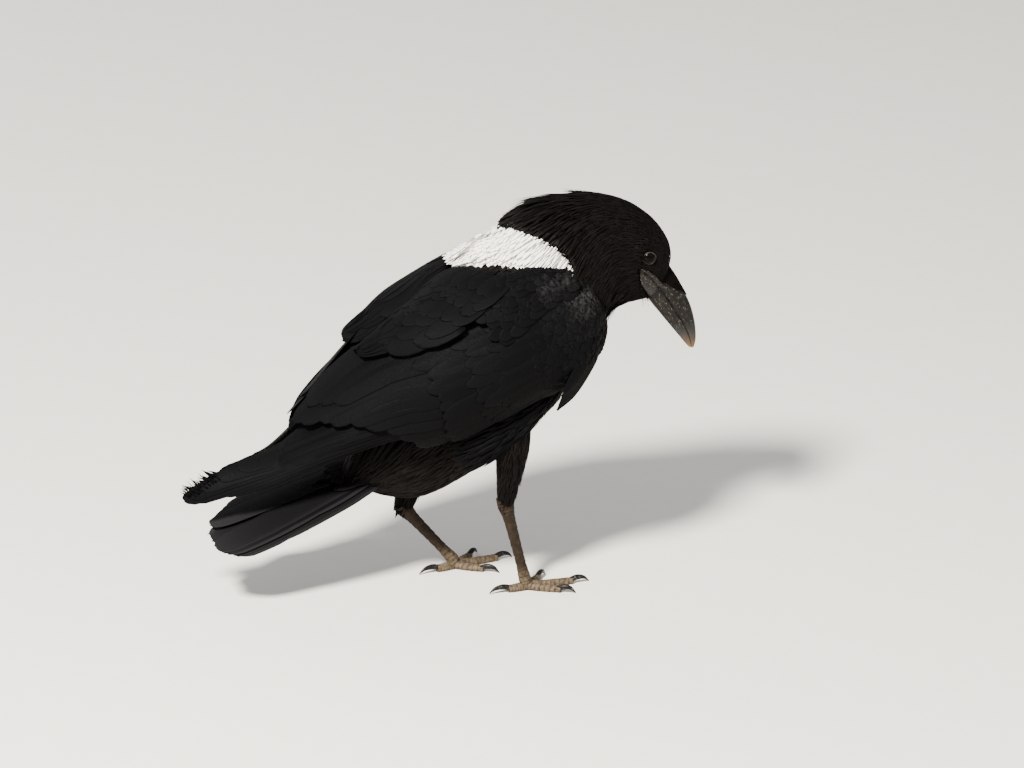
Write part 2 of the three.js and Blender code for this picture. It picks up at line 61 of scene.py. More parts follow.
# Sections of the body from the tail root to the face: the point above and the point
# below as x, z, then the half width and how much the widest line sags.
SECTIONS = (
    ((-74, 101), (-70, 82), 16, 0),
    ((-56, 146), (-50, 72), 27, 0),
    ((-26, 203), (-24, 69), 40, 0.05),
    ((4, 235), (8, 83), 49, 0.1),
    ((26, 254), (42, 106), 50, 0.1),
    ((47, 270.5), (74, 130), 47, 0.05),
    ((66, 279.5), (93, 158), 41, 0.05),
    ((84, 282), (105, 182), 33, 0.1),
    ((102, 282.5), (117, 197), 26.5, 0.1),
    ((119, 278.5), (126, 199.5), 23, 0),
    ((134, 271.5), (132, 200), 21.2, -0.05),
    ((148.5, 259.5), (137, 200.5), 18, -0.1),
    ((158.5, 244.5), (142, 201.5), 14.2, -0.05),
    ((161.5, 232), (147, 204), 10.5, 0),
)

# Rows of a left wing from the bend to the tip: upper edge, middle, lower edge.
WING_ROWS = (
    ((84, 28, 240), (108, 34, 206), (101, 39, 181)),
    ((68, 37, 240), (86, 56, 205), (84, 50, 164)),
    ((40, 42, 236), (50, 65, 196), (50, 56, 154)),
    ((10, 40, 228), (14, 68, 183), (12, 60, 140)),
    ((-22, 34, 215), (-23, 66, 169), (-24, 59, 127)),
    ((-52, 22, 197), (-53, 56, 160), (-50, 54, 125)),
    ((-82, 12, 171), (-83, 44, 144), (-80, 47, 118)),
    ((-108, 8, 143), (-108, 30, 127), (-105, 38, 110)),
    ((-136, 5, 116), (-137, 18, 108), (-136, 27, 98)),
    ((-160, 3, 106), (-160, 12, 97), (-158, 18, 86)),
    ((-181, 3, 95), (-181, 8, 87), (-179, 11, 78)),
    ((-193, 5, 86), (-194, 6, 82), (-192, 7, 77)),
)

# Rows of the left shoulder feathers from front to rear: by the spine, middle, outer edge.
SCAPULAR_ROWS = (
    ((0, 1.5, 240), (20, 18, 246.5), (48, 40, 247)),
    ((-14, 1.5, 229), (-2, 24, 238), (20, 53, 231)),
    ((-30, 1.5, 214), (-20, 26, 226.5), (-8, 57, 213)),
    ((-46, 2.5, 201), (-42, 25.5, 212.5), (-32, 51, 201.5)),
    ((-60, 6, 191), (-60, 22, 197.5), (-54, 38, 193)),
    ((-74, 14, 183), (-74, 20, 187), (-70, 26, 185)),
)

# Rows of the coverts that carry the shoulder feathers over on to the wing.
SHOULDER_ROWS = (
    ((62, 34, 243.5), (68, 42, 239.5), (75, 50, 227)),
    ((42, 38, 243), (49, 47.5, 237.5), (58, 56, 222)),
    ((22, 44, 237), (29, 55, 228), (38, 62.5, 211)),
    ((5, 47, 228), (11, 59, 217), (20, 66, 198.5)),
    ((-12, 49, 218), (-8, 60.5, 206.5), (2, 67, 188.5)),
)

# Rows of the flank feathers that hang over the top of a thigh.
FLANK_ROWS = (
    ((78, 36, 172), (76, 40, 160), (69, 38, 149)),
    ((56, 45, 156), (56, 49, 143), (53, 43, 130)),
    ((30, 48, 145), (30, 51.5, 130), (32, 46, 115)),
    ((6, 49, 136), (5, 51.5, 121), (8, 45, 104)),
    ((-18, 44, 127), (-19, 46, 114), (-15, 40, 98)),
)

TAIL_ROOT = (-19, 0, 110)
TAIL_PITCH, TAIL_ROLL = 19, 17
TAIL_LENGTH = 168
TAIL_ROOT_WIDTH, TAIL_TIP_WIDTH, TAIL_BOW, TAIL_ROOF = 36, 72, 5, 0.15

BILL_BASE = (152.5, 0, 213)
BILL_PITCH = 63.9
BILL_COS, BILL_SIN = math.cos(math.radians(BILL_PITCH)), math.sin(math.radians(BILL_PITCH))
BILL_ROUND = 0.85       # below 1, the bill's section is fuller than an ellipse
MOUTH_GAP = 0.3
# Along the bill from its base: culmen, keel, half width, height of the mouth line.
BILL_PROFILE = (
    (-6, 11.5, -11.5, 8.6, -4.6),
    (0, 12.2, -12.2, 8.6, -3.2),
    (11, 12.6, -11.6, 8, -0.8),
    (20, 12.9, -9.8, 7, 0.1),
    (29, 12.4, -8, 5.9, 0.8),
    (39, 10.4, -5.9, 4.4, 1.5),
    (47, 7.8, -4.2, 3.2, 1.3),
    (53.5, 4.7, -2.8, 2, 0.3),
    (57.6, 1.4, -1.5, 0.9, -0.8),
)

# Points of each leg, and its thigh as stations of a point, a radius and a flatness.
LEGS = {
    "right": dict(
        side=RIGHT, yaw=6, heel=(32.7, -29, 68), foot=(48, -27, 7.5),
        thigh=(((38, -34, 126), 13.5, 1), ((36.5, -34, 108), 11.8, 1),
               ((34.5, -32, 88), 8.8, 1), ((33, -29.5, 68.5), 5.4, 1.1))),
    "left": dict(
        side=LEFT, yaw=14, heel=(-26.8, 29, 49.5), foot=(9.4, 28, 7.5),
        thigh=(((2, 34, 104), 17, 1.3), ((-9, 33, 89), 15, 1.2),
               ((-19, 31, 72), 11, 1.1), ((-27, 29.5, 50), 6, 1.1))),
}
# A shank from above the heel to below the foot: share of its length, radius, flatness.
SHANK = ((-0.06, 5.2, 1.1), (0.05, 5.1, 1.15), (0.2, 3.8, 1.15), (0.5, 3.3, 1.15), (0.8, 3.2, 1.15),
         (1, 4.4, 1), (1.05, 3.4, 0.8))
# Each toe's number, its turn from the middle toe, its length and radius, and its claw's length.
TOES = ((2, -45, 23, 2.7, 12), (3, 0, 36, 3, 13), (4, 33, 26, 2.7, 11), (1, 180, 13, 3.2, 15))
TOE_HEIGHT = 2.35


def eye_centre(side):
    """The middle of the eye on that side."""
    return np.array(EYE_CENTRE) * [1, side, 1]


# The solids stand with the origin under the middle of their box. SHIFT leads there, and
# comes from the right eye.
SHIFT = np.array(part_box("eye_right")).mean(axis=0) / MM - eye_centre(RIGHT)


# ---------- curves and surfaces ----------

STEP = 2e-3     # how far apart p or q are where a surface's directions are taken


def unit(vectors):
    """The vectors brought to a length of 1."""
    return vectors / np.maximum(np.linalg.norm(vectors, axis=-1, keepdims=True), 1e-9)


def table_at(table, p):
    """The columns of a table at p, which is its first column."""
    table = np.array(table, float)
    return [np.interp(p, table[:, 0], column) for column in table.T[1:]]


def turns(count):
    """Angles all the way round, in radians."""
    return np.arange(count) / count * 2 * math.pi


def smooth(points, t):
    """The curve through points, as the solids have it, at t from 0 to 1."""
    points = np.asarray(points, float)
    last = len(points) - 1
    padded = np.vstack([2 * points[:1] - points[1:2], points, 2 * points[-1:] - points[-2:-1]])
    place = np.asarray(t, float) * last
    i = np.clip(np.floor(place).astype(int), 0, last - 1)
    f = (place - i)[..., None]
    before, start, end, after = (padded[i + k] for k in range(4))
    leave, arrive = (end - before) / 2, (after - start) / 2
    square, cube = f ** 2, f ** 3
    return (start * (2 * cube - 3 * square + 1) + leave * (cube - 2 * square + f)
            + end * (3 * square - 2 * cube) + arrive * (cube - square))


class Surface:
    """A surface over p and q. turn says which way its outside faces."""
    turn = -1

    def frame(self, p, q):
        """The point at p, q, the way out of the surface, and how it runs with p and with q."""
        here = self.at(p, q)
        along = (self.at(p + STEP, q) - self.at(p - STEP, q)) / (2 * STEP)
        across = (self.at(p, q + STEP) - self.at(p, q - STEP)) / (2 * STEP)
        return here, self.turn * unit(np.cross(along, across)), along, across


class Body(Surface):
    """p runs from the tail to the face, q round it: left, above, right, below."""
    tops = [s[0] for s in SECTIONS]
    keels = [s[1] for s in SECTIONS]
    girths = [s[2:] for s in SECTIONS]

    def __init__(self, grow=0):
        self.grow = grow

    def at(self, p, q):
        top, keel, girth = (smooth(line, p) for line in (self.tops, self.keels, self.girths))
        up = (top - keel) / 2
        height = np.linalg.norm(up, axis=-1)
        middle = (top + keel) / 2 + unit(up) * (np.sin(q) * (height + self.grow))[..., None]
        side = np.cos(q) * (1 - girth[..., 1] * np.sin(q)) * (girth[..., 0] + self.grow)
        return np.stack([middle[..., 0], side, middle[..., 1]], -1)


class Sheet(Surface):
    """p runs from the first row to the last, q from the upper to the lower edge."""

    def __init__(self, rows, side, nose=0, radius=0):
        self.lines = np.array(rows, float).transpose(1, 0, 2)
        self.side, self.turn = side, -side
        self.nose, self.radius = nose, radius

    def flat(self, p, q):
        """The sheet before its fore edge is rolled inwards."""
        upper, middle, lower = (smooth(line, p) for line in self.lines)
        pull = 2 * middle - upper / 2 - lower / 2
        q = np.asarray(q)[..., None]
        point = upper * (1 - q) ** 2 + pull * 2 * q * (1 - q) + lower * q ** 2
        return point * np.array([1, self.side, 1])

    def at(self, p, q):
        """The sheet, rolled inwards ahead of nose round a fore edge of that radius."""
        p, q = np.broadcast_arrays(np.asarray(p, float), np.asarray(q, float))
        point = self.flat(np.maximum(p, self.nose), q)
        if not self.radius:
            return point
        rear = self.flat(self.nose + STEP, q) - self.flat(self.nose, q)
        fall = self.flat(self.nose, q + STEP) - self.flat(self.nose, q - STEP)
        out = self.turn * unit(np.cross(rear, fall))
        length = np.linalg.norm(rear, axis=-1) / STEP
        angle = (np.maximum(self.nose - p, 0) * length / self.radius)[..., None]
        return point - out * self.radius * (1 - np.cos(angle)) - unit(rear) * self.radius * np.sin(angle)


class Limb(Surface):
    """p runs along the stations, q round them. A station is point, radius, flatness."""

    def __init__(self, stations, grow=0, reference=(0, 1, 0)):
        self.line = [s[0] for s in stations]
        self.size = [s[1:] for s in stations]
        self.grow, self.reference = grow, np.array(reference, float)

    def at(self, p, q):
        p, q = np.broadcast_arrays(np.asarray(p, float), np.asarray(q, float))
        ahead = unit(smooth(self.line, p + 1e-3) - smooth(self.line, p - 1e-3))
        lean = (ahead @ self.reference)[..., None]
        across = unit(self.reference - ahead * lean)
        lift = np.cross(ahead, across)
        size = smooth(self.size, p)
        radius, flat = size[..., 0], size[..., 1]
        return (smooth(self.line, p) + across * (np.cos(q) * (radius + self.grow))[..., None]
                + lift * (np.sin(q) * (radius * flat + self.grow))[..., None])


def tail_rows():
    """Rows of the tail from its root to its end: right edge, middle, left edge."""
    pitch, roll = math.radians(TAIL_PITCH), math.radians(-TAIL_ROLL)
    rear = np.array([-math.cos(pitch), 0, -math.sin(pitch)])
    plumb = np.array([-math.sin(pitch), 0, math.cos(pitch)])
    up = plumb * math.cos(roll) + np.cross(rear, plumb) * math.sin(roll)
    left = np.cross(rear, up)
    rows = []
    for share in (0, 0.25, 0.5, 0.75, 1):
        half = TAIL_ROOT_WIDTH + (TAIL_TIP_WIDTH - TAIL_ROOT_WIDTH) * share
        half = half / 2 + TAIL_BOW * math.sin(math.pi * share)
        spine = np.array(TAIL_ROOT) + rear * TAIL_LENGTH * share
        edges = [spine + left * side * half - up * TAIL_ROOF * half for side in (RIGHT, LEFT)]
        rows.append((edges[0], spine, edges[1]))
    return rows


PRIMARY_DROP = 11
body = Body()
tail_sheet = Sheet(tail_rows(), LEFT)
wing_sheets = {side: Sheet(WING_ROWS, side, nose=0.03, radius=8) for _, side in SIDES}
scapular_sheets = {side: Sheet(SCAPULAR_ROWS, side, nose=-1) for _, side in SIDES}
shoulder_sheets = {side: Sheet(SHOULDER_ROWS, side, nose=-1) for _, side in SIDES}
flank_sheets = {side: Sheet(FLANK_ROWS, side, nose=-1) for _, side in SIDES}


def primary_drop(p, q):
    """How far the primaries sink under the stack of the innermost wing feathers."""
    return PRIMARY_DROP * np.clip((0.75 - p) / 0.11, 0, 1) * np.maximum(1 - q, 0) ** 1.5


# ---------- materials ----------

def srgb(*levels):
    """Linear colour from screen levels of 0 to 255."""
    values = [level / 255 for level in levels]
    return tuple(v / 12.92 if v <= 0.04045 else ((v + 0.055) / 1.055) ** 2.4 for v in values) + (1,)


class Nodes:
    """Builds a material's nodes. place is where a point is on its piece, in metres."""

    def __init__(self, name):
        self.material = bpy.data.materials.new(name)
        self.material.use_nodes = True
        self.tree = self.material.node_tree
        self.shader = self.tree.nodes["Principled BSDF"]
        self.place = self.add("ShaderNodeTexCoord").outputs["Object"]

    def add(self, kind, values=(), **settings):
        """A node whose inputs are set or linked by values, and whose own settings are given."""
        node = self.tree.nodes.new(kind)
        for key, value in settings.items():
            setattr(node, key, value)
        for key, value in dict(values).items():
            if isinstance(value, bpy.types.NodeSocket):
                self.tree.links.new(value, node.inputs[key])
            else:
                node.inputs[key].default_value = value
        return node

    def math(self, operation, *values):
        return self.add("ShaderNodeMath", dict(enumerate(values)), operation=operation).outputs[0]

    def times(self, value, factor):
        return self.math("MULTIPLY", value, factor)

    def line(self, value, slope, start):
        return self.math("ADD", self.times(value, slope), start)

    def mix(self, share, first, second):
        node = self.add("ShaderNodeMix", {0: share, 6: first, 7: second}, data_type="RGBA")
        return node.outputs[2]

    def map_range(self, value, *limits):
        """limits are the value's lowest and highest, and what becomes of them."""
        return self.add("ShaderNodeMapRange", dict(enumerate((value,) + limits))).outputs[0]

    def ramp(self, value, *stops):
        """A colour by value. The stops are two or more pairs of a position and a colour."""
        node = self.add("ShaderNodeValToRGB", {0: value})
        ramp = node.color_ramp
        while len(ramp.elements) < len(stops):
            ramp.elements.new(0.5)
        for element, (position, colour) in zip(ramp.elements, stops):
            element.position, element.color = position, colour
        return node.outputs[0]

    def rise(self, value, low, high):
        """0 up to low and 1 from high on."""
        return self.ramp(value, (low, (0, 0, 0, 1)), (high, (1, 1, 1, 1)))

    def noise(self, vector, scale, detail=3.0, roughness=0.55):
        values = {"Vector": vector, "Scale": scale, "Detail": detail, "Roughness": roughness}
        return self.add("ShaderNodeTexNoise", values).outputs[0]

    def mapping(self, vector, kind, value):
        return self.add("ShaderNodeMapping", {0: vector, kind: value}).outputs[0]

    def parts(self, vector):
        return self.add("ShaderNodeSeparateXYZ", {0: vector}).outputs

    def attribute(self, name):
        return self.add("ShaderNodeAttribute", attribute_name=name).outputs["Fac"]

    def link(self, socket, name):
        self.tree.links.new(socket, self.shader.inputs[name])

    def bump(self, height, strength, distance):
        values = {"Height": height, "Strength": strength, "Distance": distance}
        self.link(self.add("ShaderNodeBump", values).outputs[0], "Normal")

    def set(self, **values):
        for key, value in values.items():
            self.shader.inputs[key.replace("_", " ")].default_value = value


BLACK = srgb(8, 8, 9)
BLACK_WARM = srgb(27, 23, 21)
BLACK_COOL = srgb(13, 13, 15)
# Painted light: the tail's tint is lighter than the wings', so the tail looks sunlit although the wing
# shades it.
BLACK_TAIL_PAINTED_LIGHT = srgb(39, 38, 39)
BLACK_DEEP = srgb(5, 5, 5)
WHITE = srgb(246, 243, 234)
WHITE_SHADE = srgb(238, 234, 225)


def feather_material(name, roughness, barb_strength, tint, painted_sheen_limit=0.1):
    """Black or white by the vane's own mark, with barbs that slant from its shaft. Marks below
    0.5 give pale flecks of painted sheen, standing in for the gloss of black feathers in
    sunlight, and the last argument is how strong those can be."""
    n = Nodes(name)
    vane = n.parts(n.add("ShaderNodeUVMap", uv_map="Vane").outputs[0])
    mark, shade, reach = (n.attribute(key) for key in ("white", "shade", "reach"))
    # Pale flecks from marks below 0.5 are painted sheen: the gloss of black feathers in sunlight.
    mottle = n.rise(n.noise(n.place, 420.0, 3.0, 0.6), 0.38, 0.7)
    white_and_painted_sheen = n.times(n.math("MINIMUM", mark, painted_sheen_limit), mottle)
    white = n.math("MAXIMUM", n.math("GREATER_THAN", mark, 0.5), white_and_painted_sheen)
    slant = n.math("SUBTRACT", vane[1], n.times(n.math("ABSOLUTE", vane[0]), 1.2))
    barbs_at = n.add("ShaderNodeCombineXYZ", {0: n.times(vane[0], 0.12), 1: slant, 2: n.times(shade, 40)})
    barbs = n.noise(barbs_at.outputs[0], 3.2, 2.0)
    black = n.mix(n.noise(n.place, 26.0), BLACK_DEEP, BLACK)
    black = n.mix(n.times(shade, 0.4), black, tint)
    tips = n.math("POWER", reach, 5.0)
    black = n.mix(n.times(tips, 0.35), black, tint)
    pale = n.mix(n.times(shade, 0.6), WHITE, WHITE_SHADE)
    n.link(n.mix(white, black, pale), "Base Color")
    n.link(n.math("ADD", n.line(barbs, 0.22, roughness), n.times(white, 0.15)), "Roughness")
    n.bump(barbs, barb_strength, 0.0004)
    n.set(Specular_IOR_Level=0.013)
    return n.material


def skin_material():
    """Skin as black or as white as the feathers over it."""
    n = Nodes("skin")
    grain = n.noise(n.place, 900.0)
    black, white = n.mix(grain, BLACK_DEEP, BLACK), n.mix(grain, WHITE_SHADE, WHITE)
    n.link(n.mix(n.attribute("white"), black, white), "Base Color")
    n.bump(grain, 0.3, 0.0004)
    n.set(Roughness=0.8, Specular_IOR_Level=0.2)
    return n.material


def horn_material(name, tip_at, base_at):
    """Dark horn that is worn paler from base_at down to tip_at, two heights in metres."""
    n = Nodes(name)
    worn = n.map_range(n.parts(n.place)[2], tip_at, base_at, 1.0, 0.0)
    turned = n.mapping(n.place, "Rotation", (0, math.radians(90 - BILL_PITCH), 0))
    streaks = n.noise(n.mapping(turned, "Scale", (1.0, 1.0, 0.16)), 900.0, 4.0)
    flecks = n.noise(n.place, 420.0, 5.0, 0.7)
    horn = n.ramp(n.math("ADD", n.times(streaks, 0.6), n.times(flecks, 0.4)),
                  (0.4, srgb(7, 6, 5)), (0.5, srgb(12, 10, 9)), (0.58, srgb(24, 21, 18)),
                  (0.67, srgb(70, 63, 56)))
    specks = n.rise(n.noise(n.mapping(turned, "Scale", (1.0, 1.0, 0.35)), 1150.0, 2.0), 0.63, 0.69)
    horn = n.mix(n.times(specks, 0.4), horn, srgb(134, 128, 118))
    smooth_horn = n.mix(flecks, srgb(26, 28, 31), srgb(52, 53, 54))
    horn = n.mix(n.map_range(worn, 0.12, 0.5, 0.0, 0.75), horn, smooth_horn)
    tip = n.ramp(n.math("ADD", n.times(flecks, 0.3), n.times(worn, 0.75)),
                 (0.42, srgb(40, 36, 33)), (0.85, srgb(104, 79, 54)))
    n.link(n.mix(n.math("POWER", worn, 2.2), horn, tip), "Base Color")
    n.link(n.line(flecks, 0.3, 0.24), "Roughness")
    n.bump(streaks, 0.35, 0.0003)
    n.set(Specular_IOR_Level=0.14)
    return n.material


def leg_material():
    """Dark scaled skin, dusty towards the toes."""
    n = Nodes("leg_scales")
    dusty = n.map_range(n.parts(n.place)[2], 0.02, 0.003, 0.05, 0.75)
    blots = n.noise(n.place, 260.0, 5.0, 0.65)
    scale = n.ramp(blots, (0.35, srgb(14, 10, 8)), (0.6, srgb(31, 22, 15)), (0.78, srgb(56, 42, 30)))
    dust = n.mix(blots, srgb(88, 74, 58), srgb(128, 112, 90))
    share = n.times(dusty, n.rise(n.noise(n.place, 420.0, 4.0), 0.22, 0.6))
    n.link(n.mix(n.attribute("crease"), n.mix(share, scale, dust), srgb(30, 25, 20)), "Base Color")
    n.link(n.line(blots, 0.3, 0.38), "Roughness")
    n.bump(n.noise(n.place, 2200.0), 0.35, 0.0002)
    n.set(Specular_IOR_Level=0.08)
    return n.material


def eye_material(name, side):
    """A dark brown iris round a black pupil, under a clear wet surface."""
    n = Nodes(f"eye_{name}")
    centre = tuple((eye_centre(side) + SHIFT) * MM)
    away = n.add("ShaderNodeVectorMath", {0: n.place, 1: centre}, operation="SUBTRACT").outputs[0]
    parts = n.parts(away)
    flat = n.add("ShaderNodeCombineXYZ", {0: parts[0], 2: parts[2]}).outputs[0]
    radius = n.add("ShaderNodeVectorMath", {0: flat}, operation="LENGTH").outputs["Value"]
    iris = n.mix(n.noise(away, 2600.0, 2.0), srgb(5, 4, 3), srgb(11, 8, 6))
    pupil = n.map_range(radius, 0.0021, 0.0024, 1.0, 0.0)
    rim = n.map_range(radius, 0.0035, 0.0043, 0.0, 1.0)
    n.link(n.mix(rim, n.mix(pupil, iris, srgb(4, 4, 4)), srgb(10, 8, 8)), "Base Color")
    n.set(Roughness=0.05, Specular_IOR_Level=0.035)
    return n.material


def lid_material():
    """Dark bare skin that is worn pale in spots."""
    n = Nodes("eyelid")
    grain = n.noise(n.place, 2400.0, 4.0)
    worn = n.ramp(n.noise(n.place, 900.0, 2.0), (0.45, srgb(14, 12, 11)), (0.62, srgb(66, 60, 54)))
    n.link(n.mix(grain, srgb(16, 14, 12), worn), "Base Color")
    n.bump(grain, 0.6, 0.0002)
    n.set(Roughness=0.5, Specular_IOR_Level=0.2)
    return n.material


COAT_MATERIAL = feather_material("coat_feathers", 0.42, 0.35, BLACK_WARM, 0.008)
WING_MATERIAL = feather_material("wing_coverts", 0.4, 0.35, BLACK_COOL)
FLIGHT_MATERIAL = feather_material("flight_feathers", 0.34, 0.5, BLACK_COOL)
# The tail's material is a lighter copy of the flight feathers': painted light on the tail.
TAIL_MATERIAL_PAINTED_LIGHT = feather_material("tail_feathers", 0.34, 0.5, BLACK_TAIL_PAINTED_LIGHT)


# ---------- meshes ----------

def add_object(name, data):
    """An object for a mesh, lamp or camera, linked to the scene."""
    piece = bpy.data.objects.new(name, data)
    bpy.context.scene.collection.objects.link(piece)
    return piece


def mesh_object(name, points, faces, material, slot, floats=(), maps=()):
    """One piece from points in millimetres and four-cornered faces. floats has a value for
    every point, and maps a place on a flat map."""
    mesh = bpy.data.meshes.new(name)
    faces = np.asarray(faces, np.int32)
    count = len(faces)
    mesh.vertices.add(len(points))
    mesh.vertices.foreach_set("co", ((points + SHIFT) * MM).astype(np.float32).ravel())
    mesh.loops.add(count * 4)
    mesh.loops.foreach_set("vertex_index", faces.ravel())
    mesh.polygons.add(count)
    mesh.polygons.foreach_set("loop_start", np.arange(count, dtype=np.int32) * 4)
    mesh.polygons.foreach_set("loop_total", np.full(count, 4, np.int32))
    mesh.polygons.foreach_set("use_smooth", np.full(count, True))
    for key, values in dict(floats).items():
        layer = mesh.attributes.new(key, "FLOAT", "POINT")
        layer.data.foreach_set("value", values.astype(np.float32))
    for key, values in dict(maps).items():
        layer = mesh.uv_layers.new(name=key)
        layer.data.foreach_set("uv", values[faces.ravel()].astype(np.float32).ravel())
    mesh.update(calc_edges=True)
    mesh.validate()
    mesh.materials.append(material)
    piece = add_object(name, mesh)
    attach(piece, "root")
    return piece


def ring_section(columns):
    """Places across a vane and the faces of one step: a thin lens, or a plate."""
    if columns == 2:
        across, face = np.array([-1, 0, 1, 0.0]), np.array([0, 1, 0, -1.0])
        caps = [(0, 1, 2, 3)]
    else:
        row = np.sin(np.linspace(-1, 1, columns + 1) * math.pi / 2)
        across = np.concatenate([row, row[::-1]])
        face = np.repeat([1.0, -1.0], columns + 1)
        last = 2 * columns + 1
        caps = [(k, k + 1, last - k - 1, last - k) for k in range(columns)]
    return across, face, caps


BAKE_PATCH = 0.003      # the size of a vane on the unwrap
FLIGHT_SHARES = np.concatenate([np.linspace(0, 0.8, 15), (0.86, 0.91, 0.945, 0.968, 0.984, 0.994, 1)])


class Coat:
    """Gathers vanes and makes one mesh of them."""

    def __init__(self, name, material, slot="black_feather"):
        self.name, self.material, self.slot = name, material, slot
        self.points, self.faces, self.count = [], [], 0
        self.values = {"white": [], "shade": [], "reach": []}
        self.maps = {"OFBake": [], "Vane": []}

    def add(self, spine, out, half, thick, place, white=0, shade=None, camber=0.1, columns=2,
            ragged=0.0, shares=None):
        """Adds one or more vanes. spine and out are (vanes, steps, 3), and half is the half width
        at each step. place is a vane's spot on the unwrap, white its mark, as a whole or at each
        step, and shade its own random tone."""
        vanes, steps = half.shape
        shade = rng.uniform(0, 1, vanes) if shade is None else shade
        across_at, face, caps = ring_section(columns)
        ring = len(across_at)
        shares = np.linspace(0, 1, steps) if shares is None else np.asarray(shares)
        ahead = unit(np.gradient(spine, axis=1))
        across = unit(np.cross(out, ahead))
        offset = across_at * half[..., None]
        rise = face * np.asarray(thick)[..., None] - camber * across_at ** 2 * half[..., None]
        points = (spine[:, :, None] + across[:, :, None] * offset[..., None]
                  + out[:, :, None] * rise[..., None])
        if ragged:
            shift = rng.normal(0, ragged, (vanes, steps, ring)) * np.abs(across_at)
            shift *= (shares ** 2)[None, :, None] * half.max(axis=1)[:, None, None]
            points += ahead[:, :, None] * shift[..., None]
        base = self.count + np.arange(vanes)[:, None, None] * (steps * ring)
        k = np.arange(ring)
        step = np.arange(steps - 1)[:, None] * ring
        after = (k + 1) % ring
        quads = np.stack([step + k, step + after, step + ring + after, step + ring + k], -1)
        far = (steps - 1) * ring
        ends = [quad[::-1] for quad in caps] + [tuple(v + far for v in quad) for quad in caps]
        local = np.concatenate([quads.reshape(-1, 4), np.array(ends)])
        self.faces.append((base + local[None]).reshape(-1, 4))
        self.points.append(points.reshape(-1, 3))
        self.count += vanes * steps * ring
        white = white[..., None] if np.ndim(white) == 2 else np.reshape(white, (-1, 1, 1))
        values = {"white": white, "shade": shade[:, None, None], "reach": shares[None, :, None]}
        for key, value in values.items():
            self.values[key].append(np.broadcast_to(value, (vanes, steps, ring)).ravel())
        length = np.linalg.norm(np.diff(spine, axis=1), axis=-1).sum(axis=1)
        along = np.broadcast_to(shares[None, :, None] * length[:, None, None], offset.shape)
        self.maps["Vane"].append(np.stack([offset, along], -1).reshape(-1, 2))
        spot = np.broadcast_arrays(across_at / 2 * BAKE_PATCH, (shares[:, None] - 0.5) * BAKE_PATCH)
        spot = np.asarray(place)[:, None, None] + np.stack(spot, -1)[None]
        self.maps["OFBake"].append(spot.reshape(-1, 2))

    def add_long(self, spine, out, half, place, stout=0.26, **settings):
        """Adds one flight feather, with its spine and half width at each of FLIGHT_SHARES."""
        thick = stout * (1.2 - FLIGHT_SHARES) + 0.06
        out = np.broadcast_to(out, spine.shape)
        self.add(spine[None], out[None], half[None], thick[None], place[None], shares=FLIGHT_SHARES,
                 **settings)

    def build(self):
        """Makes the piece."""
        floats, maps = ({key: np.concatenate(value) for key, value in lists.items()}
                        for lists in (self.values, self.maps))
        return mesh_object(self.name, np.concatenate(self.points), np.concatenate(self.faces),
                           self.material, self.slot, floats, maps)


def walk(surface, p, q, heading, length, shares):
    """Spines that run over a surface from p, q along heading: their points and normals."""
    points, outs = [], []
    p, q = np.array(p, float), np.array(q, float)
    for now, after in zip(shares, list(shares[1:]) + [1]):
        here, out, along, across = surface.frame(p, q)
        points.append(here)
        outs.append(out)
        step = length * (after - now)
        p = p + heading[:, 0] * step / np.linalg.norm(along, axis=-1)
        q = q + heading[:, 1] * step / np.linalg.norm(across, axis=-1)
    return np.stack(points, 1), np.stack(outs, 1)


COAT_RISE = 1.6         # above 1, a small feather rises soon after its root
ROUND_END = (0, 0.25, 0.5, 0.7, 0.84, 0.93, 0.98, 1)

# Half widths at shares of a vane's length.
SHAPES = {
    "round": ((0, 0.45), (0.3, 0.85), (0.6, 1), (0.82, 0.88), (0.94, 0.55), (1, 0.14)),
    "lance": ((0, 0.5), (0.25, 0.9), (0.5, 0.85), (0.75, 0.52), (0.92, 0.22), (1, 0.04)),
    "face": ((0, 0.5), (0.4, 1), (0.75, 0.7), (1, 0.1)),
    "covert": ((0, 0.3), (0.1, 0.6), (0.3, 0.92), (0.6, 1), (0.8, 0.9), (0.9, 0.7), (0.96, 0.44),
               (1, 0.12)),
    "flight": ((0, 0.3), (0.1, 0.6), (0.3, 0.92), (0.7, 1), (0.9, 0.92), (0.96, 0.72),
               (0.985, 0.48), (1, 0.16)),
}


def half_widths(shape, shares):
    """A vane's half width at shares of its length, where its widest is 1."""
    return np.interp(shares, *np.array(SHAPES[shape]).T)


def lie(coat, surface, p, q, heading, length, width, depth, lift, shape, place, white=0, shade=None,
        thick=0.16, camber=0.12, ragged=0.12, shares=None, columns=2):
    """Lays vanes over a surface, rooted depth below it and rising to lift above it."""
    width, depth, lift = (np.broadcast_to(value, p.shape) for value in (width, depth, lift))
    shares = np.array(SHAPES[shape])[:, 0] if shares is None else np.asarray(shares)
    points, outs = walk(surface, p, q, heading, length, shares)
    height = -depth[:, None] + (depth + lift)[:, None] * shares[None] ** (1 / COAT_RISE)
    spine = points + outs * height[..., None]
    half = width[:, None] / 2 * half_widths(shape, shares)[None]
    taper = thick * (1.15 - shares[None]) * np.ones_like(half)
    coat.add(spine, outs, half, taper, place, white, shade, camber, columns, ragged, shares)


# ---------- where the bird is white ----------

# The breast is white ahead of this x at its middle, and further ahead towards its sides.
BREAST_EDGE, BREAST_SLOPE, BREAST_SOFT = 62, 0.55, 7
EDGE_SHARPNESS = 40

# The edge of the black hood: the turn down from the middle of the back, and the share
# of the body's length there.
HOOD_TURNS = (0, 0.32, 0.58, 0.86, 1.11, 1.23, 1.5, 2.0, 2.6, math.pi)
HOOD_EDGE = (0.332, 0.364, 0.396, 0.437, 0.466, 0.474, 0.466, 0.47, 0.52, 0.55)
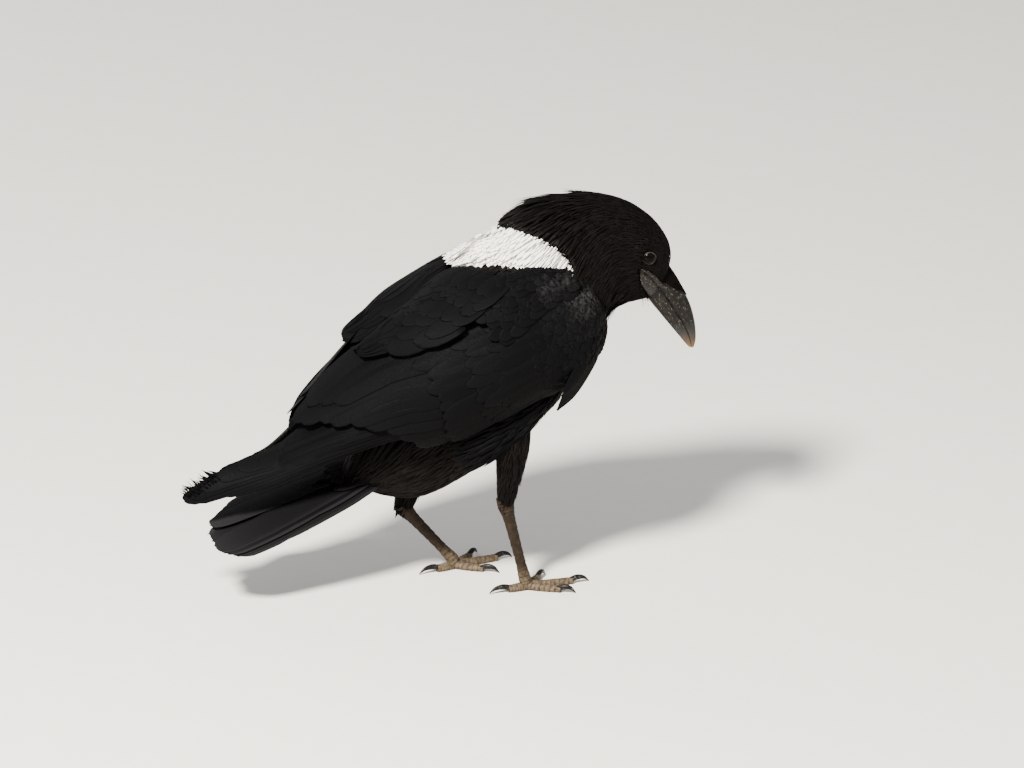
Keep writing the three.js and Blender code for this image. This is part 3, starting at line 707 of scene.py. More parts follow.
# The white's rear edge, in the same way. Its last two points are under the wing.
REAR_TURNS = (0, 0.2, 0.35, 0.5, 0.65, 0.8, 1.0, 1.15, 1.3, 1.62)
REAR_EDGE = (0.19, 0.226, 0.266, 0.298, 0.321, 0.345, 0.398, 0.445, 0.3, 0.215)


def body_white(p, q):
    """Above 0.5 where the body is white: the collar on the neck and back, and the breast."""
    turn = np.abs((q - math.pi / 2 + math.pi) % (2 * math.pi) - math.pi)
    here = body.at(p, q)
    on_breast = (here[..., 0] - BREAST_EDGE - BREAST_SLOPE * np.abs(here[..., 1])) / BREAST_SOFT
    behind_hood = (np.interp(turn, HOOD_TURNS, HOOD_EDGE) - p) * EDGE_SHARPNESS
    before_wing = (p - np.interp(turn, REAR_TURNS, REAR_EDGE)) * EDGE_SHARPNESS
    inside = np.minimum(behind_hood, np.where(np.sin(q) > -0.05, before_wing, on_breast))
    return np.clip(0.5 + inside, 0, 1)


def patchy(p, q, cells):
    """Soft random patches from 0 to 1 over p and q, both about 0 to 1."""
    grid = rng.uniform(0, 1, (cells[0] + 2, cells[1] + 2))
    x, y = np.clip(p, 0, 1) * cells[0], np.clip(q, 0, 1) * cells[1]
    i, j = x.astype(int), y.astype(int)
    f, g = x - i, y - j
    low = grid[i, j] * (1 - g) + grid[i, j + 1] * g
    high = grid[i + 1, j] * (1 - g) + grid[i + 1, j + 1] * g
    return low * (1 - f) + high * f


# Each surface's region of one unwrap for the whole coat: left, bottom, width, height.
UNWRAP = {"body": (0.01, 0.01, 0.98, 0.6), "wing_right": (0.01, 0.62, 0.3, 0.17),
          "wing_left": (0.01, 0.81, 0.3, 0.17), "scapular_right": (0.33, 0.62, 0.15, 0.17),
          "scapular_left": (0.33, 0.81, 0.15, 0.17), "thigh_right": (0.5, 0.62, 0.12, 0.17),
          "thigh_left": (0.5, 0.81, 0.12, 0.17), "tail": (0.64, 0.62, 0.2, 0.17),
          "under_tail": (0.64, 0.81, 0.2, 0.17), "bill": (0.86, 0.62, 0.12, 0.36)}


def unwrap(region, p, q):
    """The place of p, q in a region of the unwrap."""
    left, bottom, width, height = UNWRAP[region]
    return np.stack([left + width * np.clip(p, 0, 1), bottom + height * np.clip(q, 0, 1)], -1)


# ---------- the coat on head, neck and trunk ----------

# Over the body from tail to face: feather length, width, depth of coat, lift of the tips.
COAT_PLAN = (
    (0.00, 28, 6, 1.4, 0.1), (0.12, 28, 6, 1.4, 0.1), (0.22, 24, 6, 1.3, 0.1),
    (0.34, 20, 5.6, 1.3, 0.12), (0.42, 19, 4.6, 1.5, 0.3), (0.52, 17, 3.0, 1.6, 0.5),
    (0.60, 13, 2.3, 1.2, 0.2), (0.70, 9, 1.9, 0.9, 0.06), (0.80, 6.5, 1.6, 0.7, 0.02),
    (0.90, 4.8, 1.3, 0.5, 0.0), (1.00, 3.4, 1.0, 0.35, 0.0),
)


def body_roots(p_from, p_to, overlap, pack=0.5):
    """Staggered roots over the body between two shares of its length."""
    fine = np.linspace(p_from, p_to, 400)
    middle = (body.at(fine, np.full(400, math.pi / 2)) + body.at(fine, np.full(400, -math.pi / 2))) / 2
    run = np.concatenate([[0], np.cumsum(np.linalg.norm(np.diff(middle, axis=0), axis=1))])
    angles = np.linspace(0, 2 * math.pi, 97)
    all_p, all_q = [], []
    place, odd = 0.0, 0
    while place < run[-1]:
        p = np.interp(place, run, fine)
        length, width = table_at(COAT_PLAN, p)[:2]
        ring = body.at(np.full(97, p), angles)
        turn = np.concatenate([[0], np.cumsum(np.linalg.norm(np.diff(ring, axis=0), axis=1))])
        count = max(8, int(turn[-1] / (width * pack)))
        marks = (np.arange(count) + 0.5 * odd + rng.uniform(-0.3, 0.3, count)) / count * turn[-1]
        all_q.append(np.interp(marks % turn[-1], turn, angles))
        all_p.append(p + rng.uniform(-0.3, 0.3, count) * length * overlap / run[-1] * (p_to - p_from))
        place += length * overlap
        odd = 1 - odd
    return np.concatenate(all_p), np.concatenate(all_q)


def clear_of_eyes(points):
    """False for spines that would cross an eye's opening."""
    clear = np.ones(len(points), bool)
    for _, side in SIDES:
        away = points - eye_centre(side)
        near = (np.hypot(away[..., 0], away[..., 2]) < EYE_BARE) & (np.sign(points[..., 1]) == side)
        clear &= ~near.any(axis=1)
    return clear


def bill_frame(points):
    """Places along the bill and up across it."""
    x, z = points[..., 0] - BILL_BASE[0], points[..., 2] - BILL_BASE[2]
    return x * BILL_COS - z * BILL_SIN, x * BILL_SIN + z * BILL_COS


def bill_point(along, side, up):
    """The point at a place along the bill, to its side and up across it."""
    return np.stack([BILL_BASE[0] + along * BILL_COS + up * BILL_SIN, side,
                     BILL_BASE[2] - along * BILL_SIN + up * BILL_COS], -1)


def bill_section(along):
    """The share of the bill's profile at a place along it, and the four measures there."""
    profile = np.array(BILL_PROFILE, float)
    share = np.interp(along, profile[:, 0], np.linspace(0, 1, len(profile)))
    return (share, *np.moveaxis(smooth(profile, share), -1, 0)[1:])


# The bare corner of the mouth: a place along the bill, the mouth line's height there,
# and how far the bare horn reaches above and below it.
GAPE = (
    (-23, -9.4, 0.6, 0.6), (-19.5, -8.6, 3.4, 2.8), (-15, -7.0, 4.2, 6), (-10.5, -5.4, 4.3, 8),
    (-6, -4.4, 4.0, 8.8), (0, -3.2, 4.8, 9.3), (6, -1.9, 6.5, 9.6),
)


def clear_of_gape(points):
    """False for spines that would lie over the bare corner of the mouth."""
    along, up = bill_frame(points)
    line, above, below = table_at(GAPE, along)
    over = (along > GAPE[0][0]) & (up < line + above) & (up > line - below)
    return ~over.any(axis=1)


def under_wing(points):
    """True for points of the body that a wing or the shoulder feathers hide."""
    hidden = np.zeros(len(points), bool)
    for _, side in SIDES:
        p, q = np.meshgrid(np.linspace(0.04, 0.6, 34), np.linspace(0.08, 0.84, 18))
        cover = wing_sheets[side].at(p.ravel(), q.ravel())
        p, q = np.meshgrid(np.linspace(0.2, 1, 16), np.linspace(0.05, 0.95, 12))
        cover = np.vstack([cover, scapular_sheets[side].at(p.ravel(), q.ravel())])
        for start in range(0, len(points), 500):
            block = points[start:start + 500, None]
            gap = np.linalg.norm((block - cover[None])[..., ::2], axis=-1)
            out = side * (cover[None, :, 1] - block[..., 1])
            below = (gap < 5) & (out > 2) & (side * block[..., 1] > 6)
            hidden[start:start + 500] |= below.any(axis=1)
    return hidden


def body_coat():
    """The coat in five pieces, with longer ruffled feathers at the nape and the throat."""
    parts = (("coat_trunk", 0.0, 0.24), ("coat_collar", 0.24, 0.44), ("coat_neck", 0.44, 0.62),
             ("coat_head", 0.62, 0.86), ("coat_face", 0.86, 1.0))
    for name, p_from, p_to in parts:
        p, q = body_roots(p_from, p_to, 0.17 if 0.2 < p_from < 0.5 else 0.24)
        if p_from < 0.4:
            keep = ~under_wing(body.at(p, q))
            p, q = p[keep], q[keep]
        length, width, depth, lift = table_at(COAT_PLAN, p)
        wild = rng.normal(0, 1, (4, len(p)))
        around = q / (2 * math.pi)
        tuft = patchy((p - p_from) / (p_to - p_from), around, (14, 44)) ** 3
        nape = np.exp(-((p - 0.52) / 0.085) ** 2) * np.maximum(np.sin(q), 0) ** 1.5
        throat = np.exp(-((p - 0.68) / 0.09) ** 2) * np.maximum(-np.sin(q), 0) ** 2
        length = length * (1 + 0.1 * wild[0] + 0.25 * nape + 0.5 * throat)
        lift = lift + tuft * (0.25 + 10.0 * nape + 9.0 * throat)
        lift = lift + np.abs(wild[1]) * (0.05 + 0.8 * nape + 0.8 * throat)
        tilt = -0.2 * np.cos(q) + 0.06 * wild[2]
        heading = np.stack([-np.ones_like(p), tilt], -1)
        shape = "face" if p_from > 0.8 else ("round" if name == "coat_collar" else "lance")
        spines, _ = walk(body, p, q, heading, length, (0, 0.5, 1))
        keep = clear_of_eyes(spines) & (clear_of_gape(spines) | (p < 0.6))
        shares = np.array(SHAPES[shape])[:, 0]
        reach = length / np.linalg.norm(body.frame(p, q)[2], axis=-1)
        white = body_white((p + 0.0025 * wild[3])[:, None] - reach[:, None] * shares,
                           q[:, None] + (tilt * length / 60)[:, None] * shares)
        shade = rng.uniform(0, 1, len(p))

        # The brow over each eye stands out a little, and its feathers carry a faint painted highlight along
        # it.
        roots = spines[:, 0]
        x, z = roots[:, 0] - EYE_CENTRE[0], roots[:, 2] - EYE_CENTRE[2]
        brow = (np.abs(np.hypot(x, z - BROW_RISE) - BROW_RADIUS) < 0.4) & (z > 7)
        lift = lift + 0.7 * brow
        white = np.maximum(white, 0.008 * brow[:, None])
        coat = Coat(name, COAT_MATERIAL, "white_feather" if name == "coat_collar" else "black_feather")
        place = unwrap("body", p, around)
        lie(coat, body, p[keep], q[keep], heading[keep], length[keep], width[keep], depth[keep],
            lift[keep], shape, place[keep], white[keep], shade[keep], thick=0.1,
            camber=0.03 if p_from < 0.4 else 0.08)
        coat.build()


# ---------- small feathers on wings, shoulders, thighs and tail ----------

def sheet_rows(surface, p_span, q_span, sizes, overlap, pack):
    """Staggered roots over a sheet. sizes is a table of length and width by p."""
    all_p, all_q, odd = [], [], 0
    p, q_from, q_to = p_span[0], *q_span
    while p < p_span[1]:
        length, width = table_at(sizes, p)
        line = surface.at(np.full(40, p), np.linspace(q_from, q_to, 40))
        run = np.linalg.norm(np.diff(line, axis=0), axis=1).sum()
        count = max(2, int(run / (width * pack)))
        marks = (np.arange(count) + 0.5 + 0.5 * odd + rng.uniform(-0.2, 0.2, count)) / count
        all_q.append(q_from + (q_to - q_from) * np.clip(marks, 0, 1.02))
        reach = np.linalg.norm(surface.at(p + 0.01, 0.5) - surface.at(p, 0.5)) / 0.01
        all_p.append(p + rng.uniform(-0.15, 0.15, count) * length * overlap / reach)
        p += length * overlap / reach
        odd = 1 - odd
    return np.concatenate(all_p), np.concatenate(all_q)


def sheet_coat(surface, p_span, q_span, sizes, overlap, pack, fan, vary):
    """Feathers over a sheet, slightly at random: roots, headings, lengths and widths, and how
    far each stands out. fan is how much they spread, the q they spread from, and their disorder."""
    p, q = sheet_rows(surface, p_span, q_span, sizes, overlap, pack)
    length, width = table_at(sizes, p)
    wild = rng.normal(0, 1, (3, len(p)))
    heading = np.stack([np.ones_like(p), fan[0] * (fan[1] - q) + fan[2] * wild[0]], -1)
    return p, q, heading, length * (1 + vary * wild[1]), width, np.abs(wild[2])


def wing_coverts(name, side):
    """Small feathers on the arm, growing from the bend towards the rear."""
    surface = wing_sheets[side]
    sizes = ((-0.06, 11, 6), (0.0, 13, 6.5), (0.1, 19, 9.5), (0.26, 27, 12.5))
    p, q, heading, length, width, proud = sheet_coat(surface, (-0.06, 0.27), (-0.03, 1.0), sizes,
                                                     0.27, 0.55, (0.12, 0.4, 0.06), 0.1)
    near_bend = np.exp(-(np.maximum(p, 0) / 0.07) ** 2) * np.clip(1.05 - 1.3 * q, 0, 1)
    # Pale flecks near the bend are painted sheen: the gloss of the black coverts in sunlight.
    white_and_painted_sheen = 0.1 * near_bend ** 1.2 * patchy(p * 3 + 0.2, q, (8, 12)) ** 1.2
    coat = Coat(f"coat_wing_{name}", WING_MATERIAL)
    lie(coat, surface, p, q, heading, length, width, 1.5, 0.12 + 0.12 * proud, "round",
        unwrap(f"wing_{name}", p, q), white_and_painted_sheen, thick=0.12, camber=0.06, ragged=0.1, shares=ROUND_END,
        columns=4)
    coat.build()


def shoulder_coat(name, side):
    """Coverts that lead from the shoulder feathers down to the wing."""
    surface = shoulder_sheets[side]
    sizes = ((-1, 2, 3), (1, 30, 13))
    p, q, heading, length, width, proud = sheet_coat(surface, (-0.12, 0.6), (-0.02, 1.02), sizes,
                                                     0.24, 0.52, (0.15, 0.5, 0.06), 0.1)
    # Faint pale flecks near the bend are painted sheen; on the left, the foremost feathers are white like
    # the collar they join.
    near_bend = (1 - np.clip(p * 6, 0, 1)) * np.clip(q * 3 - 0.6, 0, 1)
    white_and_painted_sheen = 0.03 * patchy(p, q, (6, 6)) ** 1.5 * near_bend
    if side == LEFT:
        white_and_painted_sheen[(p < 0.14) & (q < 0.35)] = 1
    coat = Coat(f"coat_shoulder_{name}", WING_MATERIAL)
    lie(coat, surface, p, q, heading, length, width, 1.8, 0.1 + 0.12 * proud, "round",
        unwrap(f"wing_{name}", 0.3 * p, 0.3 * q), white_and_painted_sheen, thick=0.12, camber=0.05, ragged=0.1,
        shares=ROUND_END, columns=4)
    coat.build()


def flank_coat(name, side):
    """Long pointed feathers of the flank that cover the top of the thigh."""
    surface = flank_sheets[side]
    p, q, heading, length, width, proud = sheet_coat(surface, (-0.1, 0.72), (-0.1, 1.0), ((0, 30, 6.5),),
                                                     0.22, 0.5, (-0.25, 0.4, 0.08), 0.15)
    coat = Coat(f"coat_flank_{name}", WING_MATERIAL)
    lie(coat, surface, p, q, heading, length, width, 2.2, 0.1 + 0.4 * proud, "lance",
        unwrap(f"thigh_{name}", 0.1 * p, q), thick=0.12, camber=0.05)
    coat.build()


def thigh_coat(name):
    """Short soft feathers down the thigh to the heel, ragged at the rear."""
    all_p, all_q = [], []
    for row, p in enumerate(np.linspace(0.0, 0.97, 26)):
        count = int(np.interp(p, (0, 1), (34, 16)))
        all_p.append(np.full(count, p) + rng.uniform(-0.012, 0.012, count))
        marks = np.arange(count) + 0.5 * (row % 2) + rng.uniform(-0.25, 0.25, count)
        all_q.append(marks / count * 2 * math.pi)
    p, q = np.concatenate(all_p), np.concatenate(all_q)
    length, width, depth = table_at(((0, 15, 5, 2), (1, 8, 2.4, 1)), p)
    length = length * (1 + 0.15 * rng.normal(0, 1, len(p)))
    rear = np.maximum(np.sin(q), 0) * np.exp(-((p - 0.55) / 0.3) ** 2)
    heading = np.stack([np.ones_like(p), 0.06 * rng.normal(0, 1, len(p))], -1)
    coat = Coat(f"coat_thigh_{name}", COAT_MATERIAL)
    lie(coat, Limb(LEGS[name]["thigh"]), p, q, heading, length, width, depth,
        0.1 + rear * rng.uniform(0, 1.6, len(p)), "lance", unwrap(f"thigh_{name}", p, q / (2 * math.pi)))
    coat.build()


def before_white_end(tips):
    """True for tips that end ahead of the white's rear edge on the back, which slants rearwards
    to the left in two straight runs."""
    over = np.where(tips[:, 1] > -8.5, 2.2 - 0.69 * tips[:, 1], 8 - 1.65 * (tips[:, 1] + 8.5))
    return tips[:, 0] > over + rng.normal(0, 1.0, len(tips))


def collar_edge():
    """White feathers of the back that lie over the front of the left shoulder feathers, and
    those of a bridge between the shoulder and the ridge of the back."""
    surface = scapular_sheets[LEFT]
    p, q = sheet_rows(surface, (-0.2, -0.03), (-0.05, 1.0), ((0, 17, 6),), 0.16, 0.42)
    keep = p > -0.2 + 0.17 * np.clip((q - 0.4) / 0.3, 0, 1)
    p, q = p[keep], q[keep]
    p = p - 0.08 * np.clip(0.3 - q, 0, 0.2) / 0.2
    coat = Coat("coat_collar_edge", COAT_MATERIAL, "white_feather")
    deep = 1.5 + 5.5 * np.clip(-p / 0.18, 0, 1)
    lift = 0.5 - 2.5 * np.clip((-0.08 - p) / 0.12, 0, 1)
    collar_rows(coat, surface, p, q, 17.0, deep, lift)
    rows = []
    for over, under in ((None, 0.335), (-0.2, 0.29), (-0.1, 0.25), (0.0, 0.225), (0.12, 0.19)):
        inner = body.at(0.335, math.pi / 2 - 0.25) if over is None else surface.at(over, 0.12)
        place, out = body.frame(under, math.pi / 2 + 0.45)[:2]
        outer = place + 1.2 * out
        middle = (inner + outer) / 2 + np.array([0, 0, 2.0])
        rows.append([point * [1, RIGHT, 1] for point in (inner, middle, outer)])
    bridge = Sheet(rows, RIGHT, nose=-1)
    p, q = sheet_rows(bridge, (-0.02, 0.74), (0.0, 1.0), ((0, 14, 5.4),), 0.18, 0.45)
    collar_rows(coat, bridge, p, q, 14.0, 1.5 + 2.0 * np.clip(0.2 - p, 0, 0.2) / 0.2, 0.3)
    coat.build()


def collar_rows(coat, surface, p, q, length, deep, lift):
    """Adds to coat the white feathers rooted at p, q that end on the white of the back."""
    reach = length / np.linalg.norm(surface.frame(p, q)[2], axis=-1)
    keep = before_white_end(surface.at(p + 0.95 * reach, q))
    wild = rng.normal(0, 1, (3, len(p)))[:, keep]
    deep, lift = (np.broadcast_to(value, p.shape)[keep] for value in (deep, lift))
    p, q = p[keep], q[keep]
    heading = np.stack([np.ones(len(p)), 0.06 * wild[0]], -1)
    lie(coat, surface, p, q, heading, length * (1 + 0.1 * wild[1]), 5.8, deep,
        lift + 0.08 * np.abs(wild[2]), "round", unwrap("scapular_left", p, q), 1, thick=0.12, camber=0.04)


def scapulars(name, side):
    """The shoulder feathers: broad, overlapping, longer to the rear."""
    surface = scapular_sheets[side]
    sizes = ((0, 24, 9), (0.3, 42, 15), (1, 54, 19))
    p, q = sheet_rows(surface, (0.07, 0.62), (0.0, 1.0), sizes, 0.2, 0.52)
    length, width = table_at(sizes, p)
    ends = np.linalg.norm(surface.at(np.ones_like(p), q) - surface.at(p, q), axis=-1)
    wild = rng.normal(0, 1, (3, len(p)))
    length = np.minimum(length * (1 + 0.1 * wild[0]), ends)
    heading = np.stack([np.ones_like(p), 0.1 * (0.5 - q) + 0.05 * wild[1]], -1)
    sink = 2.0 * np.clip((0.3 - p) / 0.2, 0, 1) if side == LEFT else 0.0
    coat = Coat(f"scapular_feathers_{name}", WING_MATERIAL)
    lie(coat, surface, p, q, heading, length, width, 2.0 + sink, 0.1 + 0.25 * np.abs(wild[2]) - sink,
        "round", unwrap(f"scapular_{name}", p, q), camber=0.07, ragged=0.09,
        shares=(0, 0.2, 0.4, 0.6, 0.75, 0.86, 0.93, 0.975, 1), columns=6)
    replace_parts(coat.build(), f"scapulars_{name}")


# ---------- flight feathers ----------

def bow(root, tip, shares):
    """A path of p and q from root to tip that turns along the wing towards its end."""
    root, tip = np.array(root), np.array(tip)
    turn = root + (tip - root) * (0.6, 0.85)
    s = np.asarray(shares)[:, None]
    return root * (1 - s) ** 2 + turn * 2 * s * (1 - s) + tip * s ** 2


def flight_feather(coat, surface, root, tip, width, heights, place, sink=None, columns=8, shape="flight",
                   sharp=0.0):
    """One long vane over a sheet from root to tip, both as p, q. heights are at root and tip."""
    p, q = bow(root, tip, FLIGHT_SHARES).T
    here, out, _, _ = surface.frame(p, q)
    height = heights[0] + (heights[1] - heights[0]) * FLIGHT_SHARES
    spine = here + out * height[:, None]
    if sink is not None:
        spine[:, 2] -= sink(p, q)
    half = width / 2 * half_widths(shape, FLIGHT_SHARES)
    half *= 1 - sharp * np.clip((FLIGHT_SHARES - 0.7) / 0.3, 0, 1) * 0.5
    for _ in range(3):
        notch = rng.uniform(0.35, 0.97)
        half *= 1 - rng.uniform(0.03, 0.1) * np.exp(-((FLIGHT_SHARES - notch) / 0.02) ** 2)
    coat.add_long(spine, out, half, place, columns=columns, ragged=0.05)


def wing_feathers(name, side):
    """Greater coverts, secondaries and primaries, from the lowest layer up."""
    coat = Coat(f"flight_feathers_{name}", FLIGHT_MATERIAL)

    def feather(root, tip, width, heights, **settings):
        flight_feather(coat, wing_sheets[side], root, tip, width, heights, unwrap(f"wing_{name}", *tip),
                       **settings)

    # Primaries: the outermost lie lowest.
    tips = ((0.67, 0.06), (0.70, 0.1), (0.745, 0.12), (0.8, 0.14), (0.86, 0.18),
            (0.92, 0.25), (0.968, 0.33), (1.0, 0.45), (0.955, 0.58), (0.86, 0.76))
    for k, tip in enumerate(tips):
        height = -2.4 - 0.28 * k
        feather((0.3 + 0.004 * k, 0.72 + 0.026 * k), tip, 18.5 - 0.6 * k, (height - 1, height),
                sink=primary_drop, sharp=0.25 if k > 4 else 0)

    # Secondaries: the innermost lie on top.
    tips = ((0.66, 0.03), (0.645, 0.15), (0.61, 0.27), (0.588, 0.38), (0.545, 0.49),
            (0.52, 0.6), (0.482, 0.72), (0.456, 0.84), (0.42, 0.95))
    for k, tip in reversed(list(enumerate(tips))):
        height = 0.5 - 0.2 * k
        feather((0.2, 0.3 + 0.075 * k), tip, 21 - 0.3 * k, (height - 1.6, height))

    # Tertials: three broad feathers over the inner edge.
    for k, tip in enumerate(((0.57, 0.2), (0.6, 0.1), (0.625, 0.0))):
        feather((0.24, 0.3 - 0.1 * k), tip, 24, (-0.6, 1.0 + 0.3 * k))

    # Greater coverts over the bases of the secondaries, then two rows of median coverts.
    for count, ends, slant, start, width in ((12, 0.435, 0.1, 0.2, 16), (14, 0.35, 0.075, 0.15, 13.5),
                                             (15, 0.295, 0.05, 0.12, 12)):
        for k in range(count):
            q = 0.01 + (k + 0.5 * rng.uniform(-0.2, 0.2)) / (count - 1)
            tip = (ends - slant * q + rng.uniform(-0.012, 0.012), min(q, 1.01))
            feather((start, 0.04 + 0.93 * q), tip, width, (-0.8, rng.uniform(0.6, 1.1)), columns=6,
                    shape="covert")
    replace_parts(coat.build(), f"secondaries_{name}", f"primaries_{name}")


def loose_barbs(coat, root, out, way, length, share, place, knots, steps):
    """Adds straight barbs from root along way. knots are half widths by share of length."""
    steps = np.array(steps)
    spine = root[:, None] + way[:, None] * (length[:, None] * steps)[..., None]
    half = np.interp(steps, *np.array(knots).T)[None] * share[:, None]
    coat.add(spine, np.broadcast_to(out, spine.shape), half, np.full_like(half, 0.08), place,
             camber=0.0, shares=steps)


def frayed_barbs(name, side):
    """Loose barbs standing off the upper edge near a wing's tip and off the innermost feather."""
    surface = wing_sheets[side]
    coat = Coat(f"frayed_barbs_{name}", FLIGHT_MATERIAL)
    for count, start, end, height, length in ((12, (0.86, 0.14), (0.975, 0.42), -3.4, 11),
                                              (9, (0.85, 0.3), (0.95, 0.5), -3.2, 8)):
        mark = (np.arange(count) + rng.uniform(-0.3, 0.3, count)) / count
        p, q = (np.array(start)[:, None] + (np.array(end) - start)[:, None] * mark)
        _, out, along, across = surface.frame(p, np.full(count, 0.55))
        rear, inward = unit(along), -unit(across)
        lean = rng.uniform(0.46, 0.64, count)[:, None]
        way = unit(rear * (1 - lean) + inward * lean + out * rng.uniform(0, 0.12, count)[:, None])
        loose_barbs(coat, surface.at(p, q) + out * height, out[:, None], way,
                    length * rng.uniform(0.6, 1, count), rng.uniform(0.5, 1.1, count),
                    unwrap(f"wing_{name}", p, q), ((0, 0.85), (0.4, 0.75), (1, 0.12)),
                    (0, 0.3, 0.6, 0.85, 1))
    coat.build()


def slipped_tertials():
    """The longest inner feathers of the left wing, which lie over the back against the right
    wing, with loose barbs at their ends."""
    line = np.array(((-40, 9, 197), (-62, 9.5, 183), (-86, 9.5, 162.5), (-104, 9, 142), (-114, 8, 125)))
    out = unit(np.array([-0.35, -0.62, 0.7]))
    inward = unit(np.array([0.41, -0.775, -0.48]))
    coat = Coat("tertials_left", FLIGHT_MATERIAL)

    # For each: how far below the topmost, its share of the line, half width, how far inward.
    for drop, share, half_width, aside in ((7.0, 0.62, 7.0, 13.0), (6.0, 0.75, 7.0, 6.5),
                                           (4.5, 0.9, 7.0, 0), (2.0, 0.96, 7.0, 0), (0.0, 1.0, 6.5, 0)):
        spine = smooth(line, FLIGHT_SHARES * share) - out * 0.6 * drop - np.array([0, 0, 0.8 * drop])
        half = half_width * half_widths("flight", FLIGHT_SHARES)
        half *= 1 - 0.5 * np.clip((FLIGHT_SHARES - 0.75) / 0.25, 0, 1)
        coat.add_long(spine + inward * aside, out, half, unwrap("wing_left", 0.6, 0.02), columns=8,
                      ragged=0.12)
    count = 12
    mark = rng.uniform(0.86, 1.0, count)
    rear = unit(smooth(line, np.minimum(mark + 0.02, 1.0)) - smooth(line, mark - 0.02))
    way = unit(rear + unit(np.cross(out, rear)) * rng.uniform(-0.15, 0.5, count)[:, None])
    loose_barbs(coat, smooth(line, mark) + out * 0.4, out, way, rng.uniform(6, 10, count),
                rng.uniform(0.5, 1, count),
                unwrap("wing_left", np.full(count, 0.62), rng.uniform(0, 0.1, count)),
                ((0, 0.9), (0.5, 0.7), (1, 0.1)), (0, 0.4, 0.8, 1))
    coat.build()


def alula(name, side):
    """The thumb's feathers, hanging below the bend."""
    line = np.array(((100, 42, 187), (90, 49, 172), (77, 53, 155), (65, 53, 141))) * [1, side, 1]
    lean = unit(np.array([-0.64, 0.37 * side, 0.56]))
    coat = Coat(f"alula_feathers_{name}", FLIGHT_MATERIAL)
    for k in range(4):
        spine = smooth(line, np.linspace(0.0, 1 - 0.065 * k, len(FLIGHT_SHARES)))
        ahead = unit(np.gradient(spine, axis=0))
        across = unit(lean - ahead * (ahead @ lean)[:, None])
        out = unit(np.cross(ahead, across)) * side
        spine = spine + across * (1.5 + 2.6 * k) + out * 0.8 * k
        coat.add_long(spine, out, 5.6 * half_widths("flight", FLIGHT_SHARES),
                      unwrap(f"wing_{name}", 0.02 * k, 0.95), 0.3, camber=0.12, columns=6, ragged=0.04)
    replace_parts(coat.build(), f"alula_{name}")


def tail_end(q):
    """Where the tail's tips end: rounded at the right corner, and slanting on the left."""
    left = 0.05 * max(0, 2 * q - 1) ** 6
    right = 0.17 * max(0, 1 - q / 0.3) ** 2
    return 1 - 0.3 * max(0, q - 0.5) - left - right


def tail_feathers():
    """Twelve feathers in two halves: the middle pair on top, parted towards the tip."""
    coat = Coat("tail_feathers", TAIL_MATERIAL_PAINTED_LIGHT)

    def feather(q_root, tip, width, height, place):
        flight_feather(coat, tail_sheet, (0.12, q_root), tip, width, (height, height),
                       unwrap("tail", *place))

    for q_tip, height in ((0.5, -4.4), (0.42, -4.0)):
        feather(0.5, (0.985, q_tip), 22, height, (0.97, q_tip))
    for rank in range(5, -1, -1):
        for side, q_first, q_last, spread, drop in ((RIGHT, 0.27, 0.14, 0.28, 0.9),
                                                    (LEFT, 0.59, 0.92, 0.45, 0)):
            q_tip = q_first + (q_last - q_first) * rank / 5
            height = -0.3 - 0.45 * rank - drop - (1.5 if rank > 3 else 0)
            end = tail_end(q_tip) - 0.008 - 0.04 * np.clip((q_tip - 0.6) / 0.15, 0, 1)
            end -= 0.025 * np.clip(0.24 - q_tip, 0, 0.1) / 0.1
            feather(0.5 + spread * (rank + 0.5) / 6 * side, (end, q_tip), 19, height, (end, q_tip))
    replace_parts(coat.build(), "tail")


def tail_coverts():
    """Soft feathers over and under the tail's root."""
    coat = Coat("coat_tail_root", COAT_MATERIAL)
    below = Sheet(tail_rows(), LEFT)
    below.turn = -below.turn
    for region, surface, off in (("tail", tail_sheet, 0.2), ("under_tail", below, 3.0)):
        count = 150
        p = np.sort(rng.uniform(0.02, 0.22, count))[::-1]
        q = rng.uniform(0.26, 0.76, count)
        heading = np.stack([np.ones(count), rng.normal(0, 0.04, count)], -1)
        lie(coat, surface, p, q, heading, rng.uniform(30, 40, count), 9.0, 1.6 - off, off + 0.5, "round",
            unwrap(region, p, q), shares=ROUND_END, columns=4)
    coat.build()


# ---------- skin ----------

BODY_COAT_DEPTH, THIGH_COAT_DEPTH = 2.6, 1.2
SKIN_VOXEL = 2.2


def tube(surface, p_from, p_to, rings, sides):
    """A closed tube over a surface that wraps round: its points and faces."""
    p, q = np.meshgrid(np.linspace(p_from, p_to, rings), turns(sides), indexing="ij")
    return stack(surface.at(p, q))


def stack(grid):
    """Faces over rings of points, closed at both ends by a point."""
    rings, sides, _ = grid.shape
    points = np.vstack([grid.reshape(-1, 3), grid[0].mean(axis=0), grid[-1].mean(axis=0)])
    faces = []
    for i in range(rings - 1):
        for j in range(sides):
            a, b = i * sides + j, i * sides + (j + 1) % sides
            faces.append((a, b, b + sides, a + sides))
    first, last = rings * sides, rings * sides + 1
    for j in range(0, sides, 2):
        a, b, c = j, (j + 1) % sides, (j + 2) % sides
        faces.append((first, c, b, a))
        shift = (rings - 1) * sides
        faces.append((last, a + shift, b + shift, c + shift))
    return points, faces


def join(shells):
    """The points and faces of several closed shells as one."""
    points, faces, base = [], [], 0
    for shell_points, shell_faces in shells:
        points.append(shell_points)
        faces.append(np.array(shell_faces) + base)
        base += len(shell_points)
    return np.concatenate(points), np.concatenate(faces)


